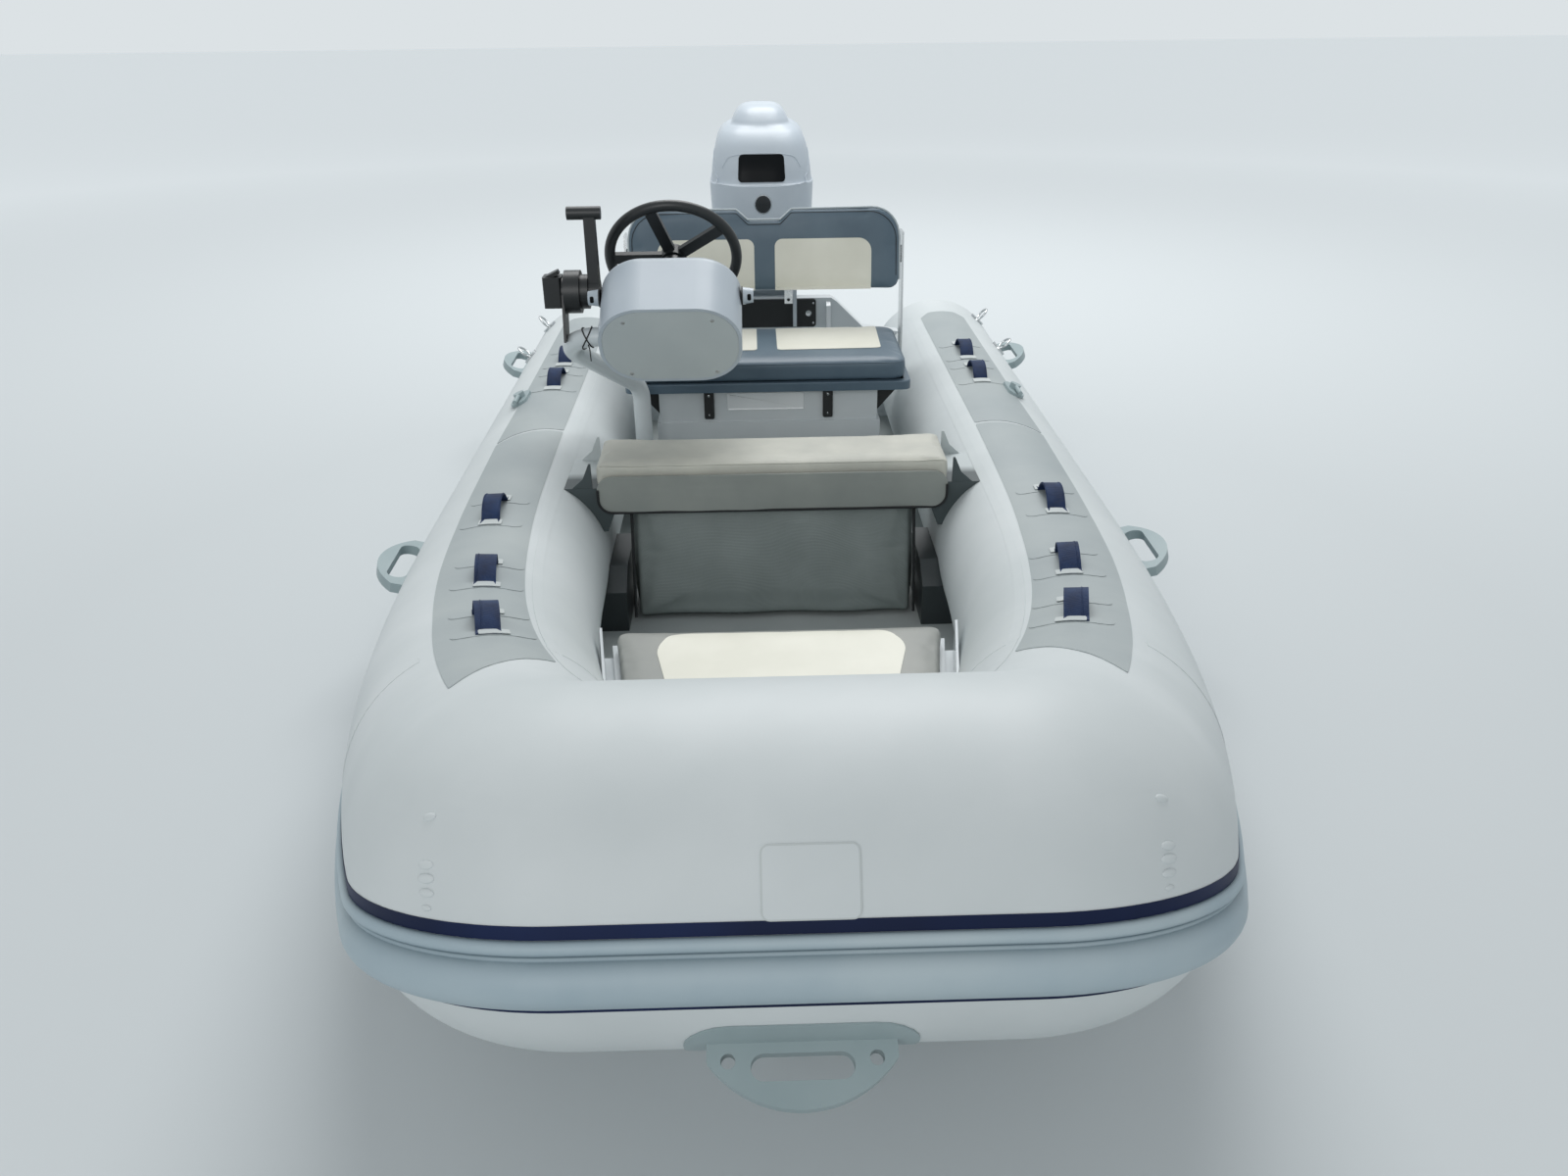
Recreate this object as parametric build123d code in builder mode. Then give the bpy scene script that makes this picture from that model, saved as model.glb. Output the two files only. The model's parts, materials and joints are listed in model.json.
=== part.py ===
# Rigid inflatable boat with a helm seat, an offset console and one outboard engine.
# The bow points along -Y, port is +X, up is +Z. The origin is on the centreline,
# at the waterline, halfway along the boat. All sizes are in millimetres.
import os
from math import acos, asin, atan2, cos, degrees, hypot, radians, sin, sqrt, tan

from build123d import *

os.makedirs("parts", exist_ok=True)

# Fits
seat_gap = 0.3  # between a piece and the curved face that it lies on
run_gap = 0.05  # radial clearance of a pin in its sleeve
swing_gap = 6.0  # between the tilting bracket and the clamp plates

# Air chambers
tube_r = 210.0
tube_x = 595.0  # half the spacing of the side chambers
tube_z = 195.0  # height of their centre line above the water
sheer_y = -130.0  # forward of this the side chambers rise and draw in
bow_x, bow_y, bow_z = 300.0, -1525.0, 484.0  # corner of the centre line at the bow
corner_cut = 55.0  # how far before and after that corner the centre line bends
seam_back = 350.0  # length of side chamber that belongs to the bow chamber
cone_y, tail_y, tail_r, tail_cap = 1520.0, 1740.0, 130.0, 25.0

# Rub strake
strake_drop = 12.0  # degrees below the level of the centre line
lip_r, lip_out, lip_angle = 8.0, 1.0, 8.9
bulge_r, bulge_in, bulge_angle = 32.0, 10.0, 2.6

# Hull and deck
deck_bottom, deck_t = 30.0, 20.0
deck_top = deck_bottom + deck_t
shelf_z = 110.0  # top of the solid forefoot that carries the bow locker
shelf_y = -632.0
transom_y, transom_t, transom_top = 1320.0, 45.0, 465.0
stern_y = transom_y + transom_t

# Seat
seat_y, seat_depth, seat_half, seat_top = 520.0, 400.0, 300.0, 415.0
wall = 8.0
lid_t, lid_half, lid_front, lid_back = 14.0, 385.0, 500.0, 902.0
cushion_t, cushion_back = 62.0, 872.0
rest_y, rest_z, rest_w, rest_h, rest_t, rest_lean = 888.0, 593.0, 810.0, 236.0, 55.0, 8.0
arm_t, arm_w = 6.0, 40.0

# Bow locker
locker_back, locker_knee, locker_front, locker_top = -632.0, -830.0, -1170.0, 237.0
hatch_back, hatch_front, hatch_t = -622.0, -1123.0, 14.0
foredeck_front, foredeck_half = -1345.0, 188.0
# Half widths of the hatch at its back, at its knee and at its hinge
hatch_halves = (322.0, 293.0, 190.0)
rim_t = 8.0
bow_cushion_t = 40.0

# Thwart
thwart_y, thwart_w, thwart_t, thwart_z, thwart_out = 8.0, 190.0, 18.0, 352.0, 480.0

# Console and helm, built along a column that leans aft and up
console_x, console_y, console_z, column_tilt = -228.0, 70.0, 655.0, 30.0
pod_w, pod_h, pod_depth, pod_r = 330.0, 230.0, 180.0, 103.0
wheel_out, wheel_r, rim_r, spoke_count = 300.0, 154.0, 13.0, 5
wheel_hub_r, wheel_hub_t, spoke_w = 30.0, 34.0, 28.0
post_x, post_y, post_top, arm_r, elbow_r = -338.0, 432.0, 450.0, 23.0, 70.0
elbow_x, elbow_y, elbow_z = -525.0, 165.0, 655.0

# Remote control beside the console
control_y, control_z, control_r = 218.0, 750.0, 50.0
control_in, control_mid, control_out = -424.0, -443.0, -480.0
lever_len, grip_len, grip_r = 180.0, 78.0, 15.0

# Outboard engine
tilt_y, tilt_z, tilt_r = 1378.0, 505.0, 15.0
king_y, king_r = 1458.0, 12.0
clamp_x, clamp_t = 95.0, 12.0
plate_z, prop_z, prop_y = -120.0, -275.0, 1652.0
pan_bottom, pan_top, cowl_y = 552.0, 700.0, 1645.0
cowl_wall = 4.0


# The centre line of the port side chamber
# It runs straight from the stern, then follows one arc that rises and draws in,
# then turns a short corner into the chamber that crosses the bow.
forward = Vector(0, -1, 0)
inboard = Vector(-1, 0, 0)
chamber_start = Vector(tube_x, sheer_y, tube_z)
draw_in, rise, run = tube_x - bow_x, bow_z - tube_z, sheer_y - bow_y
across = hypot(draw_in, rise)
toward = Vector(-draw_in / across, 0, rise / across)
tangent = (across**2 + run**2 - corner_cut**2) / (2 * (run + corner_cut))
bend_angle = degrees(atan2(across, run - tangent))
bend_r = tangent / tan(radians(bend_angle) / 2)
bend_axis = Axis(chamber_start + toward * bend_r, forward.cross(toward))


def along_bend(angle):
    """Point and direction of the centre line, at this angle round the bend."""
    turn = radians(angle)
    point = chamber_start + forward * (bend_r * sin(turn)) + toward * (bend_r * (1 - cos(turn)))
    return point, forward * cos(turn) + toward * sin(turn)


def carried(direction, angle):
    """A direction across the chamber, carried round the bend by this angle."""
    return direction.rotate(Axis((0, 0, 0), bend_axis.direction), angle)


bend_end, bow_dir = along_bend(bend_angle)
corner_turn = degrees(acos(-bow_dir.X))
corner_r = corner_cut / tan(radians(corner_turn) / 2)
corner_in = (inboard - bow_dir * bow_dir.dot(inboard)).normalized()
corner_axis = Axis(bend_end + corner_in * corner_r, bow_dir.cross(inboard))
front_start = bend_end + bow_dir * corner_cut + inboard * corner_cut
seam_angle = bend_angle - degrees(seam_back / bend_r)
seam_point, seam_dir = along_bend(seam_angle)
stern_plane = Plane(origin=chamber_start, x_dir=(1, 0, 0), z_dir=(0, 1, 0))
seam_plane = Plane(origin=seam_point, z_dir=seam_dir)
corner_plane = Plane(origin=bend_end, x_dir=corner_in * -1, z_dir=bow_dir)
front_plane = Plane(origin=front_start, z_dir=(-1, 0, 0))


def bow_corner(radius):
    """The round outside of the bow corner, as far in as its turning axis."""
    with BuildPart() as corner:
        with BuildSketch(corner_plane):
            Circle(radius)
            with Locations(((radius - corner_r) / 2, 0)):
                Rectangle(radius + corner_r, 2 * radius, mode=Mode.INTERSECT)
        revolve(axis=corner_axis, revolution_arc=corner_turn)
    return corner.part


def cylinder_run(radius, aft_end):
    """The whole port half of the centre line at one radius, from the stern to the middle."""
    with BuildPart() as whole:
        with BuildSketch(stern_plane):
            Circle(radius)
        extrude(amount=aft_end - sheer_y)
        with BuildSketch(stern_plane):
            Circle(radius)
        revolve(axis=bend_axis, revolution_arc=bend_angle)
        add(bow_corner(radius))
        with BuildSketch(front_plane):
            Circle(radius)
        extrude(amount=front_start.X)
    return whole.part


def chamber_at(y):
    """Point and direction of the port centre line at this y."""
    if y > sheer_y:
        return Vector(tube_x, y, tube_z), forward
    return along_bend(degrees(asin((sheer_y - y) / bend_r)))


def chamber_centre(y):
    """Point of the port centre line at this y."""
    return chamber_at(y)[0]


def both_sides(rows):
    """Outline across the boat from rows of y and half width."""
    half = [(x, y) for y, x in rows]
    Polygon(*(half + [(-x, y) for x, y in reversed(half)]), align=None)


def chamber_frame(y, lean):
    """Plane on the port chamber: x along it to the bow, z away from its centre line.

    Lean is in degrees from straight up, positive outboard."""
    centre, along = chamber_at(y)
    up = (Vector(0, 0, 1) - along * along.Z).normalized()
    out = up.rotate(Axis((0, 0, 0), along), -lean)
    return Plane(origin=centre, x_dir=along, z_dir=out)


# Space taken by the chambers, cut from everything that is fitted between them
with BuildPart() as chamber_space:
    add(cylinder_run(tube_r + seat_gap, cone_y))
    mirror(about=Plane.YZ)

# Bow chamber
with BuildPart() as tube_bow:
    with BuildSketch(seam_plane):
        Circle(tube_r)
    revolve(axis=bend_axis, revolution_arc=bend_angle - seam_angle)
    add(bow_corner(tube_r))
    with BuildSketch(front_plane):
        Circle(tube_r)
    extrude(amount=front_start.X)
    mirror(about=Plane.YZ)
tube_bow.part.label = "tube_bow"
export_step(tube_bow.part, "parts/tube_bow.step")

# Side chambers with their cone ends
cap_r = (tail_r**2 + tail_cap**2) / (2 * tail_cap)
cap_half = asin(tail_r / cap_r) / 2
with BuildPart() as tube_port:
    with BuildSketch(stern_plane):
        Circle(tube_r)
    extrude(amount=cone_y - sheer_y)
    with BuildSketch(stern_plane):
        Circle(tube_r)
    revolve(axis=bend_axis, revolution_arc=seam_angle)
    with BuildSketch(Plane(origin=(tube_x, 0, tube_z), x_dir=(1, 0, 0), z_dir=(0, 0, 1))):
        with BuildLine():
            Polyline((0, tail_y + tail_cap), (0, cone_y), (tube_r, cone_y), (tail_r, tail_y))
            cap_mid = (cap_r * sin(cap_half), tail_y + tail_cap - cap_r * (1 - cos(cap_half)))
            ThreePointArc((tail_r, tail_y), cap_mid, (0, tail_y + tail_cap))
        make_face()
    revolve(axis=Axis((tube_x, 0, tube_z), (0, 1, 0)))
tube_port.part.label = "tube_port"
export_step(tube_port.part, "parts/tube_port.step")

with BuildPart() as tube_starboard:
    mirror(tube_port.part, about=Plane.YZ)
tube_starboard.part.label = "tube_starboard"
export_step(tube_starboard.part, "parts/tube_starboard.step")

# Rub strake: a narrow lip along the top, and a wide round bulge under it
strake_out = Vector(cos(radians(strake_drop)), 0, -sin(radians(strake_drop)))
strake_bow = carried(strake_out, bend_angle)
strake_front = strake_bow.rotate(Axis((0, 0, 0), corner_axis.direction), corner_turn)


def strake_profile():
    """The lip over the bulge, joined by a web, around local x on the chamber's outside."""
    with PolarLocations(tube_r + lip_out, 1, lip_angle):
        Circle(lip_r)
    with PolarLocations(tube_r, 1, (lip_angle + bulge_angle) / 2):
        Circle(lip_r * 0.6)
    with PolarLocations(tube_r - bulge_in, 1, -bulge_angle):
        Circle(bulge_r)
    Circle(tube_r + seat_gap, mode=Mode.SUBTRACT)


with BuildPart() as rub_strake:
    strake_plane = Plane(origin=chamber_start, x_dir=strake_out, z_dir=forward)
    with BuildSketch(strake_plane):
        strake_profile()
    extrude(amount=sheer_y - cone_y)
    with BuildSketch(strake_plane):
        strake_profile()
    revolve(axis=bend_axis, revolution_arc=bend_angle)
    with BuildSketch(Plane(origin=bend_end, x_dir=strake_bow, z_dir=bow_dir)):
        strake_profile()
    revolve(axis=corner_axis, revolution_arc=corner_turn)
    with BuildSketch(Plane(origin=front_start, x_dir=strake_front, z_dir=(-1, 0, 0))):
        strake_profile()
    extrude(amount=front_start.X)
    mirror(about=Plane.YZ)
rub_strake.part.label = "rub_strake"
export_step(rub_strake.part, "parts/rub_strake.step")

# Hull, lofted through sections of straight lines and hollowed above the deck
# Its top edges run into the chambers, which are then cut away
# Columns: y, keel z, rail x, rail z, chine x, chine z
hull_sections = [
    (stern_y, -95, 215, -58, 395, -32),
    (sheer_y, -98, 210, -55, 392, -25),
    (-700, -90, 190, -42, 365, 0),
    (-1130, -50, 140, 12, 290, 70),
    (-1340, 30, 95, 85, 205, 150),
    (-1465, 150, 45, 185, 100, 225),
]
keel_half, rail_step = 14.0, 9.0
seat_x, seat_z = -96.0, -115.0  # from the centre line of the chamber to the hull's top edge
# Columns: y, half width of the well over the deck
deck_outline = [(stern_y, 425), (sheer_y, 425), (shelf_y, 378)]
# Columns: y, half width of the well over the forefoot
well_outline = [(shelf_y, 405), (-1000, 330), (-1200, 250)]
nose_floor_z = 200.0
# Columns: y, half width of the shallow well in front of it
nose_outline = [(-1190, 285), (-1340, 218), (-1400, 140)]
with BuildPart() as hull:
    for y, keel_z, rail_x, rail_z, chine_x, chine_z in hull_sections:
        middle = chamber_centre(y)
        half = [(keel_half, keel_z), (rail_x, rail_z - rail_step), (rail_x + rail_step, rail_z),
                (chine_x, chine_z), (middle.X + seat_x, middle.Z + seat_z)]
        ring = half + [(-x, z) for x, z in reversed(half)]
        with BuildSketch(Plane(origin=(0, y, 0), x_dir=(1, 0, 0), z_dir=(0, -1, 0))):
            with BuildLine():
                Polyline(*ring, close=True)
            make_face()
    loft(ruled=True)
    # The well over the deck, and the shallower ones over the forefoot
    with BuildSketch(Plane.XY.offset(deck_bottom)):
        both_sides(deck_outline)
    extrude(amount=tube_x, mode=Mode.SUBTRACT)
    with BuildSketch(Plane.XY.offset(shelf_z)):
        both_sides(well_outline)
    extrude(amount=tube_x, mode=Mode.SUBTRACT)
    with BuildSketch(Plane.XY.offset(nose_floor_z)):
        both_sides(nose_outline)
    extrude(amount=tube_x, mode=Mode.SUBTRACT)
    add(chamber_space.part, mode=Mode.SUBTRACT)
hull.part.label = "hull"
export_step(hull.part, "parts/hull.step")

# Deck panel
with BuildPart() as deck:
    with BuildSketch(Plane.XY.offset(deck_bottom)):
        both_sides([(transom_y, deck_outline[0][1])] + deck_outline[1:])
        offset(amount=-seat_gap, kind=Kind.INTERSECTION, mode=Mode.REPLACE)
    extrude(amount=deck_t)
    add(chamber_space.part, mode=Mode.SUBTRACT)
deck.part.label = "deck"
export_step(deck.part, "parts/deck.step")

# Transom with a raised centre and two knees
knee_x, knee_t, knee_foot, knee_head = 213.0, 14.0, 130.0, 22.0
transom_foot, transom_side, shoulder_z = deck_outline[0][1] - seat_gap, tube_x - 120, 344.0
# Columns: x, z, up the port edge to the raised centre
transom_edge = [(transom_foot, deck_bottom), (transom_foot, tube_z), (transom_side, tube_z),
                (transom_side, shoulder_z), (330, shoulder_z + 21), (240, transom_top - 12),
                (222, transom_top)]
with BuildPart() as transom:
    with BuildSketch(Plane(origin=(0, transom_y, 0), x_dir=(1, 0, 0), z_dir=(0, -1, 0))):
        with BuildLine():
            Polyline(*(transom_edge + [(-x, z) for x, z in reversed(transom_edge)]), close=True)
        make_face()
    extrude(amount=-transom_t)
    for side in (-1, 1):
        with BuildSketch(Plane.YZ.offset(side * knee_x)):
            with BuildLine():
                Polyline((transom_y, deck_top), (transom_y - knee_foot, deck_top),
                         (transom_y - knee_head, transom_top - knee_head),
                         (transom_y, transom_top - knee_head / 2), close=True)
            make_face()
        extrude(amount=knee_t / 2, both=True)
    add(chamber_space.part, mode=Mode.SUBTRACT)
transom.part.label = "transom"
export_step(transom.part, "parts/transom.step")

# Dark pad on the inner face of the transom
pad_w, pad_h, pad_t, pad_top = 344.0, 92.0, 8.0, transom_top - 2
with BuildPart() as transom_pad:
    with BuildSketch(Plane(origin=(0, transom_y, pad_top - pad_h / 2), x_dir=(1, 0, 0), z_dir=(0, -1, 0))):
        RectangleRounded(pad_w, pad_h, 10)
    extrude(amount=pad_t)
transom_pad.part.label = "transom_pad"
export_step(transom_pad.part, "parts/transom_pad.step")

# Seat box, open at the top, with a wider foot that ends in a ledge
plinth_h, plinth_out = 267.0, 8.0
with BuildPart() as seat_box:
    with BuildSketch(Plane.XY.offset(deck_top)):
        with Locations((0, seat_y + seat_depth / 2)):
            Rectangle(2 * seat_half, seat_depth)
    extrude(amount=seat_top - deck_top)
    with BuildSketch(Plane.XY.offset(deck_top)):
        with Locations((0, seat_y + seat_depth / 2)):
            Rectangle(2 * (seat_half + plinth_out), seat_depth + 2 * plinth_out)
    extrude(amount=plinth_h)
    with BuildSketch(Plane.XY.offset(deck_top + wall)):
        with Locations((0, seat_y + seat_depth / 2)):
            Rectangle(2 * (seat_half - wall), seat_depth - 2 * wall)
    extrude(amount=seat_top - deck_top, mode=Mode.SUBTRACT)
seat_box.part.label = "seat_box"
export_step(seat_box.part, "parts/seat_box.step")

# Rubber latches on the front of the seat box
latch_x, latch_w, latch_h, latch_t = 163.0, 27.0, 88.0, 9.0
with BuildPart() as seat_latches:
    for side in (-1, 1):
        with BuildSketch(Plane(origin=(side * latch_x, seat_y - seat_gap, seat_top - latch_h / 2),
                               x_dir=(1, 0, 0), z_dir=(0, -1, 0))):
            RectangleRounded(latch_w, latch_h, 5)
        extrude(amount=latch_t)
seat_latches.part.label = "seat_latches"
export_step(seat_latches.part, "parts/seat_latches.step")

# Black gussets under the overhang of the seat
gusset_drop, gusset_t, gusset_y, gusset_in = 84.0, 24.0, seat_y + 40, 12.0
with BuildPart() as seat_gussets:
    with BuildSketch(Plane(origin=(0, gusset_y, 0), x_dir=(1, 0, 0), z_dir=(0, -1, 0))):
        with BuildLine():
            Polyline((seat_half, seat_top - gusset_drop), (seat_half, seat_top),
                     (lid_half - gusset_in, seat_top), close=True)
        make_face()
    extrude(amount=gusset_t / 2, both=True)
    mirror(about=Plane.YZ)
seat_gussets.part.label = "seat_gussets"
export_step(seat_gussets.part, "parts/seat_gussets.step")

# Seat lid, hinged along its back edge, and its cushion
lid_bottom = seat_top + seat_gap
with BuildPart() as seat_lid:
    with BuildSketch(Plane.XY.offset(lid_bottom)):
        with Locations((0, (lid_front + lid_back) / 2)):
            RectangleRounded(2 * lid_half, lid_back - lid_front, 20)
    extrude(amount=lid_t)
seat_lid.part.label = "seat_lid"
export_step(seat_lid.part, "parts/seat_lid.step")

cushion_bottom = lid_bottom + lid_t + seat_gap
cushion_front = lid_front - 10
with BuildPart() as seat_cushion:
    with BuildSketch(Plane.XY.offset(cushion_bottom)):
        with Locations((0, (cushion_front + cushion_back) / 2)):
            RectangleRounded(2 * lid_half, cushion_back - cushion_front, 35)
    extrude(amount=cushion_t)
    fillet(seat_cushion.faces().sort_by(Axis.Z)[-1].edges(), 16)
seat_cushion.part.label = "seat_cushion"
export_step(seat_cushion.part, "parts/seat_cushion.step")

# Backrest cushion with rounded top corners and a dip in its top edge
rest_plane = Plane(origin=(0, rest_y, rest_z), x_dir=(1, 0, 0),
                   z_dir=(0, -cos(radians(rest_lean)), sin(radians(rest_lean))))
dip_half, dip_slope, dip_depth, rest_corner, foot_corner = 75.0, 25.0, 22.0, 62.0, 30.0
dip_top = dip_half + dip_slope
with BuildPart() as backrest:
    with BuildSketch(rest_plane) as rest_outline:
        with Locations((0, rest_h / 2)):
            Rectangle(rest_w, rest_h)
        fillet(rest_outline.vertices().group_by(Axis.Y)[-1], rest_corner)
        fillet(rest_outline.vertices().group_by(Axis.Y)[0], foot_corner)
        Polygon((dip_top, rest_h), (-dip_top, rest_h), (-dip_half, rest_h - dip_depth),
                (dip_half, rest_h - dip_depth), align=None, mode=Mode.SUBTRACT)
        dip_corners = [v for v in rest_outline.vertices() if abs(v.X) < dip_top + 1]
        fillet(dip_corners, dip_depth / 2)
    extrude(amount=-rest_t)
    fillet(backrest.faces().sort_by(Axis.Y)[0].edges(), 14)
backrest.part.label = "backrest"
export_step(backrest.part, "parts/backrest.step")

# Stainless frame of the backrest: two flat side bars on feet, a cross bar and two eye tabs
back_plane = rest_plane.offset(-rest_t - seat_gap)
tab_x, tab_w, tab_drop, tab_t, tab_hole_r, bar_h = 70.0, 24.0, 46.0, 4.0, 5.0, 50.0
bar_up = rest_h * 0.4  # from the foot of the backrest to the middle of the cross bar
foot_y, foot_z = seat_y + seat_depth - 15, seat_top - 49
bend_z, head_z, head_y = foot_z + 114, rest_z + 150, rest_y + 52
foot_out = rest_w / 2 + arm_t
with BuildPart() as backrest_frame:
    with BuildSketch(back_plane):
        with Locations((0, bar_up)):
            Rectangle(rest_w + arm_t, bar_h)
        for side in (-1, 1):
            with Locations((side * tab_x, (bar_up - tab_drop) / 2)):
                Rectangle(tab_w, bar_up + tab_drop)
            with Locations((side * tab_x, tab_w / 2 - tab_drop)):
                Circle(tab_hole_r, mode=Mode.SUBTRACT)
    extrude(amount=-tab_t)
    for side in (-1, 1):
        with BuildSketch(Plane.YZ.offset(side * (rest_w + arm_t) / 2)):
            with BuildLine():
                Polyline((foot_y, foot_z), (foot_y + arm_w, foot_z), (foot_y + 1.6 * arm_w, bend_z),
                         (head_y + 1.5 * arm_w, head_z), (head_y, head_z), (foot_y, bend_z), close=True)
            make_face()
        extrude(amount=arm_t / 2, both=True)
        with BuildSketch(Plane.XY.offset(foot_z)):
            with Locations((side * (seat_half + foot_out) / 2, foot_y + arm_w / 2)):
                Rectangle(foot_out - seat_half, arm_w)
        extrude(amount=arm_t)
backrest_frame.part.label = "backrest_frame"
export_step(backrest_frame.part, "parts/backrest_frame.step")


# Bow locker: a tapered box under a foredeck panel, whose opening the hatch covers
# Columns: y, half width
locker_rows = [(locker_back, hatch_halves[0] - 4), (locker_knee, hatch_halves[1] - 4),
               (locker_front, hatch_halves[2] + 10)]
mouth_rows = [(locker_back - wall - 12, hatch_halves[0] - 28), (locker_knee, hatch_halves[1] - 26),
              (hatch_front + 20, hatch_halves[2] - 18)]
coaming_rows = [(locker_back - 13, 341), (locker_knee - 20, 312)]
coaming_t, coaming_top = 5.0, 312.0
with BuildPart() as bow_locker:
    with BuildSketch(Plane.XY.offset(shelf_z)):
        both_sides(locker_rows)
    extrude(amount=locker_top - shelf_z)
    with BuildSketch(Plane.XY.offset(shelf_z + wall)) as locker_inside:
        both_sides(locker_rows)
        offset(amount=-wall, kind=Kind.INTERSECTION, mode=Mode.REPLACE)
    extrude(amount=locker_top - shelf_z, mode=Mode.SUBTRACT)
    with BuildSketch(Plane.XY.offset(locker_top)):
        both_sides(locker_rows + [(foredeck_front, foredeck_half)])
        both_sides(coaming_rows)
        both_sides(mouth_rows)
    extrude(amount=rim_t)
    with BuildSketch(Plane.XY.offset(locker_top)):
        both_sides(mouth_rows)
    extrude(amount=rim_t, mode=Mode.SUBTRACT)
    with BuildSketch(Plane.XY.offset(locker_top)):
        both_sides(coaming_rows)
        both_sides([(y, half - coaming_t) for y, half in coaming_rows])
    extrude(amount=coaming_top - locker_top)
    with BuildSketch(Plane.XY.offset(locker_top + rim_t)):
        both_sides([(y, half - coaming_t) for y, half in coaming_rows])
    extrude(amount=coaming_top - locker_top, mode=Mode.SUBTRACT)
    add(chamber_space.part, mode=Mode.SUBTRACT)
bow_locker.part.label = "bow_locker"
export_step(bow_locker.part, "parts/bow_locker.step")

hatch_bottom = locker_top + rim_t + seat_gap
hatch_rows = list(zip((hatch_back, locker_knee, hatch_front), hatch_halves))
with BuildPart() as locker_lid:
    with BuildSketch(Plane.XY.offset(hatch_bottom)):
        both_sides(hatch_rows)
    extrude(amount=hatch_t)
locker_lid.part.label = "locker_lid"
export_step(locker_lid.part, "parts/locker_lid.step")

with BuildPart() as bow_cushion:
    with BuildSketch(Plane.XY.offset(hatch_bottom + hatch_t + seat_gap)) as bow_outline:
        both_sides(hatch_rows)
        offset(amount=-3, kind=Kind.INTERSECTION, mode=Mode.REPLACE)
        fillet(bow_outline.vertices(), 24)
    extrude(amount=bow_cushion_t)
    fillet(bow_cushion.faces().sort_by(Axis.Z)[-1].edges(), 10)
bow_cushion.part.label = "bow_cushion"
export_step(bow_cushion.part, "parts/bow_cushion.step")

# Thwart board with dark gussets that close the gap between its cushion and the chambers
thwart_pad_half, thwart_pad_t = 412.0, 58.0
gusset_side, gusset_foot = thwart_pad_half + 2, thwart_pad_half - 27
gusset_low, gusset_t = thwart_z - 90, 6.0
gusset_top = thwart_z + thwart_t + thwart_pad_t
with BuildPart() as thwart:
    with BuildSketch(Plane.XY.offset(thwart_z)):
        with Locations((0, thwart_y)):
            Rectangle(2 * thwart_out, thwart_w)
    extrude(amount=thwart_t)
    for end in (-1, 1):
        with BuildSketch(Plane(origin=(0, thwart_y + end * (thwart_w / 2 - 4), 0), x_dir=(1, 0, 0),
                               z_dir=(0, -1, 0))):
            with BuildLine():
                Polyline((gusset_foot - 35, thwart_z), (gusset_foot, gusset_low), (thwart_out, gusset_low),
                         (thwart_out, thwart_z), (gusset_side + 20, gusset_top - 35),
                         (gusset_side + 5, gusset_top), (gusset_side, gusset_top),
                         (gusset_side, thwart_z), close=True)
            make_face()
        extrude(amount=gusset_t / 2, both=True)
    mirror(about=Plane.YZ)
    add(chamber_space.part, mode=Mode.SUBTRACT)
thwart.part.label = "thwart"
export_step(thwart.part, "parts/thwart.step")

# Thwart cushion with a flap in front, and the bag that hangs under the board
flap_t, flap_bottom = 12.0, 315.0
pad_bottom = thwart_z + thwart_t + seat_gap
pad_front = thwart_y - thwart_w / 2 - 8
with BuildPart() as thwart_cushion:
    with BuildSketch(Plane.XY.offset(pad_bottom)):
        with Locations((0, (pad_front + thwart_y + thwart_w / 2) / 2)):
            Rectangle(2 * thwart_pad_half, thwart_y + thwart_w / 2 - pad_front)
    extrude(amount=thwart_pad_t)
    with BuildSketch(Plane.XY.offset(flap_bottom)):
        with Locations((0, pad_front - flap_t / 2 + 4)):
            Rectangle(2 * thwart_pad_half - 14, flap_t)
    extrude(amount=pad_bottom + thwart_pad_t - 20 - flap_bottom)
    fillet(thwart_cushion.faces().sort_by(Axis.Z)[-1].edges(), 14)
thwart_cushion.part.label = "thwart_cushion"
export_step(thwart_cushion.part, "parts/thwart_cushion.step")

bag_half, bag_front, bag_back, bag_foot, bag_lift = 332.0, -76.0, 70.0, -150.0, 6.0
with BuildPart() as thwart_bag:
    with BuildSketch(Plane.YZ):
        with BuildLine():
            Polyline((bag_back, thwart_z - seat_gap), (bag_front, thwart_z - seat_gap),
                     (bag_foot, deck_top + 20), (bag_foot + 16, deck_top + bag_lift),
                     (bag_back - 20, deck_top + bag_lift), close=True)
        make_face()
    extrude(amount=bag_half, both=True)
thwart_bag.part.label = "thwart_bag"
export_step(thwart_bag.part, "parts/thwart_bag.step")

# Dark moulded side panels between the bag and the chambers
panel_in, panel_out, panel_front, panel_back, panel_h = bag_half + 10, 416.0, -185.0, 60.0, 140.0
with BuildPart() as side_panels:
    with BuildSketch(Plane.YZ.offset(panel_in)):
        with BuildLine():
            Polyline((panel_front, deck_top), (panel_back, deck_top), (panel_back, deck_top + panel_h),
                     (panel_front + 65, deck_top + panel_h), (panel_front, deck_top + panel_h - 40),
                     close=True)
        make_face()
    extrude(amount=panel_out - panel_in)
    mirror(about=Plane.YZ)
    add(chamber_space.part, mode=Mode.SUBTRACT)
side_panels.part.label = "side_panels"
export_step(side_panels.part, "parts/side_panels.step")

# Steering console, a rounded pod along the leaning column
column = Vector(0, cos(radians(column_tilt)), sin(radians(column_tilt)))
pod_front = Vector(console_x, console_y, console_z)
pod_plane = Plane(origin=pod_front, x_dir=(1, 0, 0), z_dir=column)
plate_in = 5.0
with BuildPart() as console:
    with BuildSketch(pod_plane):
        RectangleRounded(pod_w, pod_h, pod_r)
    extrude(amount=pod_depth)
    fillet(console.faces().sort_by(Axis(pod_front, column))[-1].edges(), 22)
    with BuildSketch(pod_plane):
        RectangleRounded(pod_w - 16, pod_h - 16, pod_r - 8)
    extrude(amount=plate_in, mode=Mode.SUBTRACT)
console.part.label = "console"
export_step(console.part, "parts/console.step")

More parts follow.
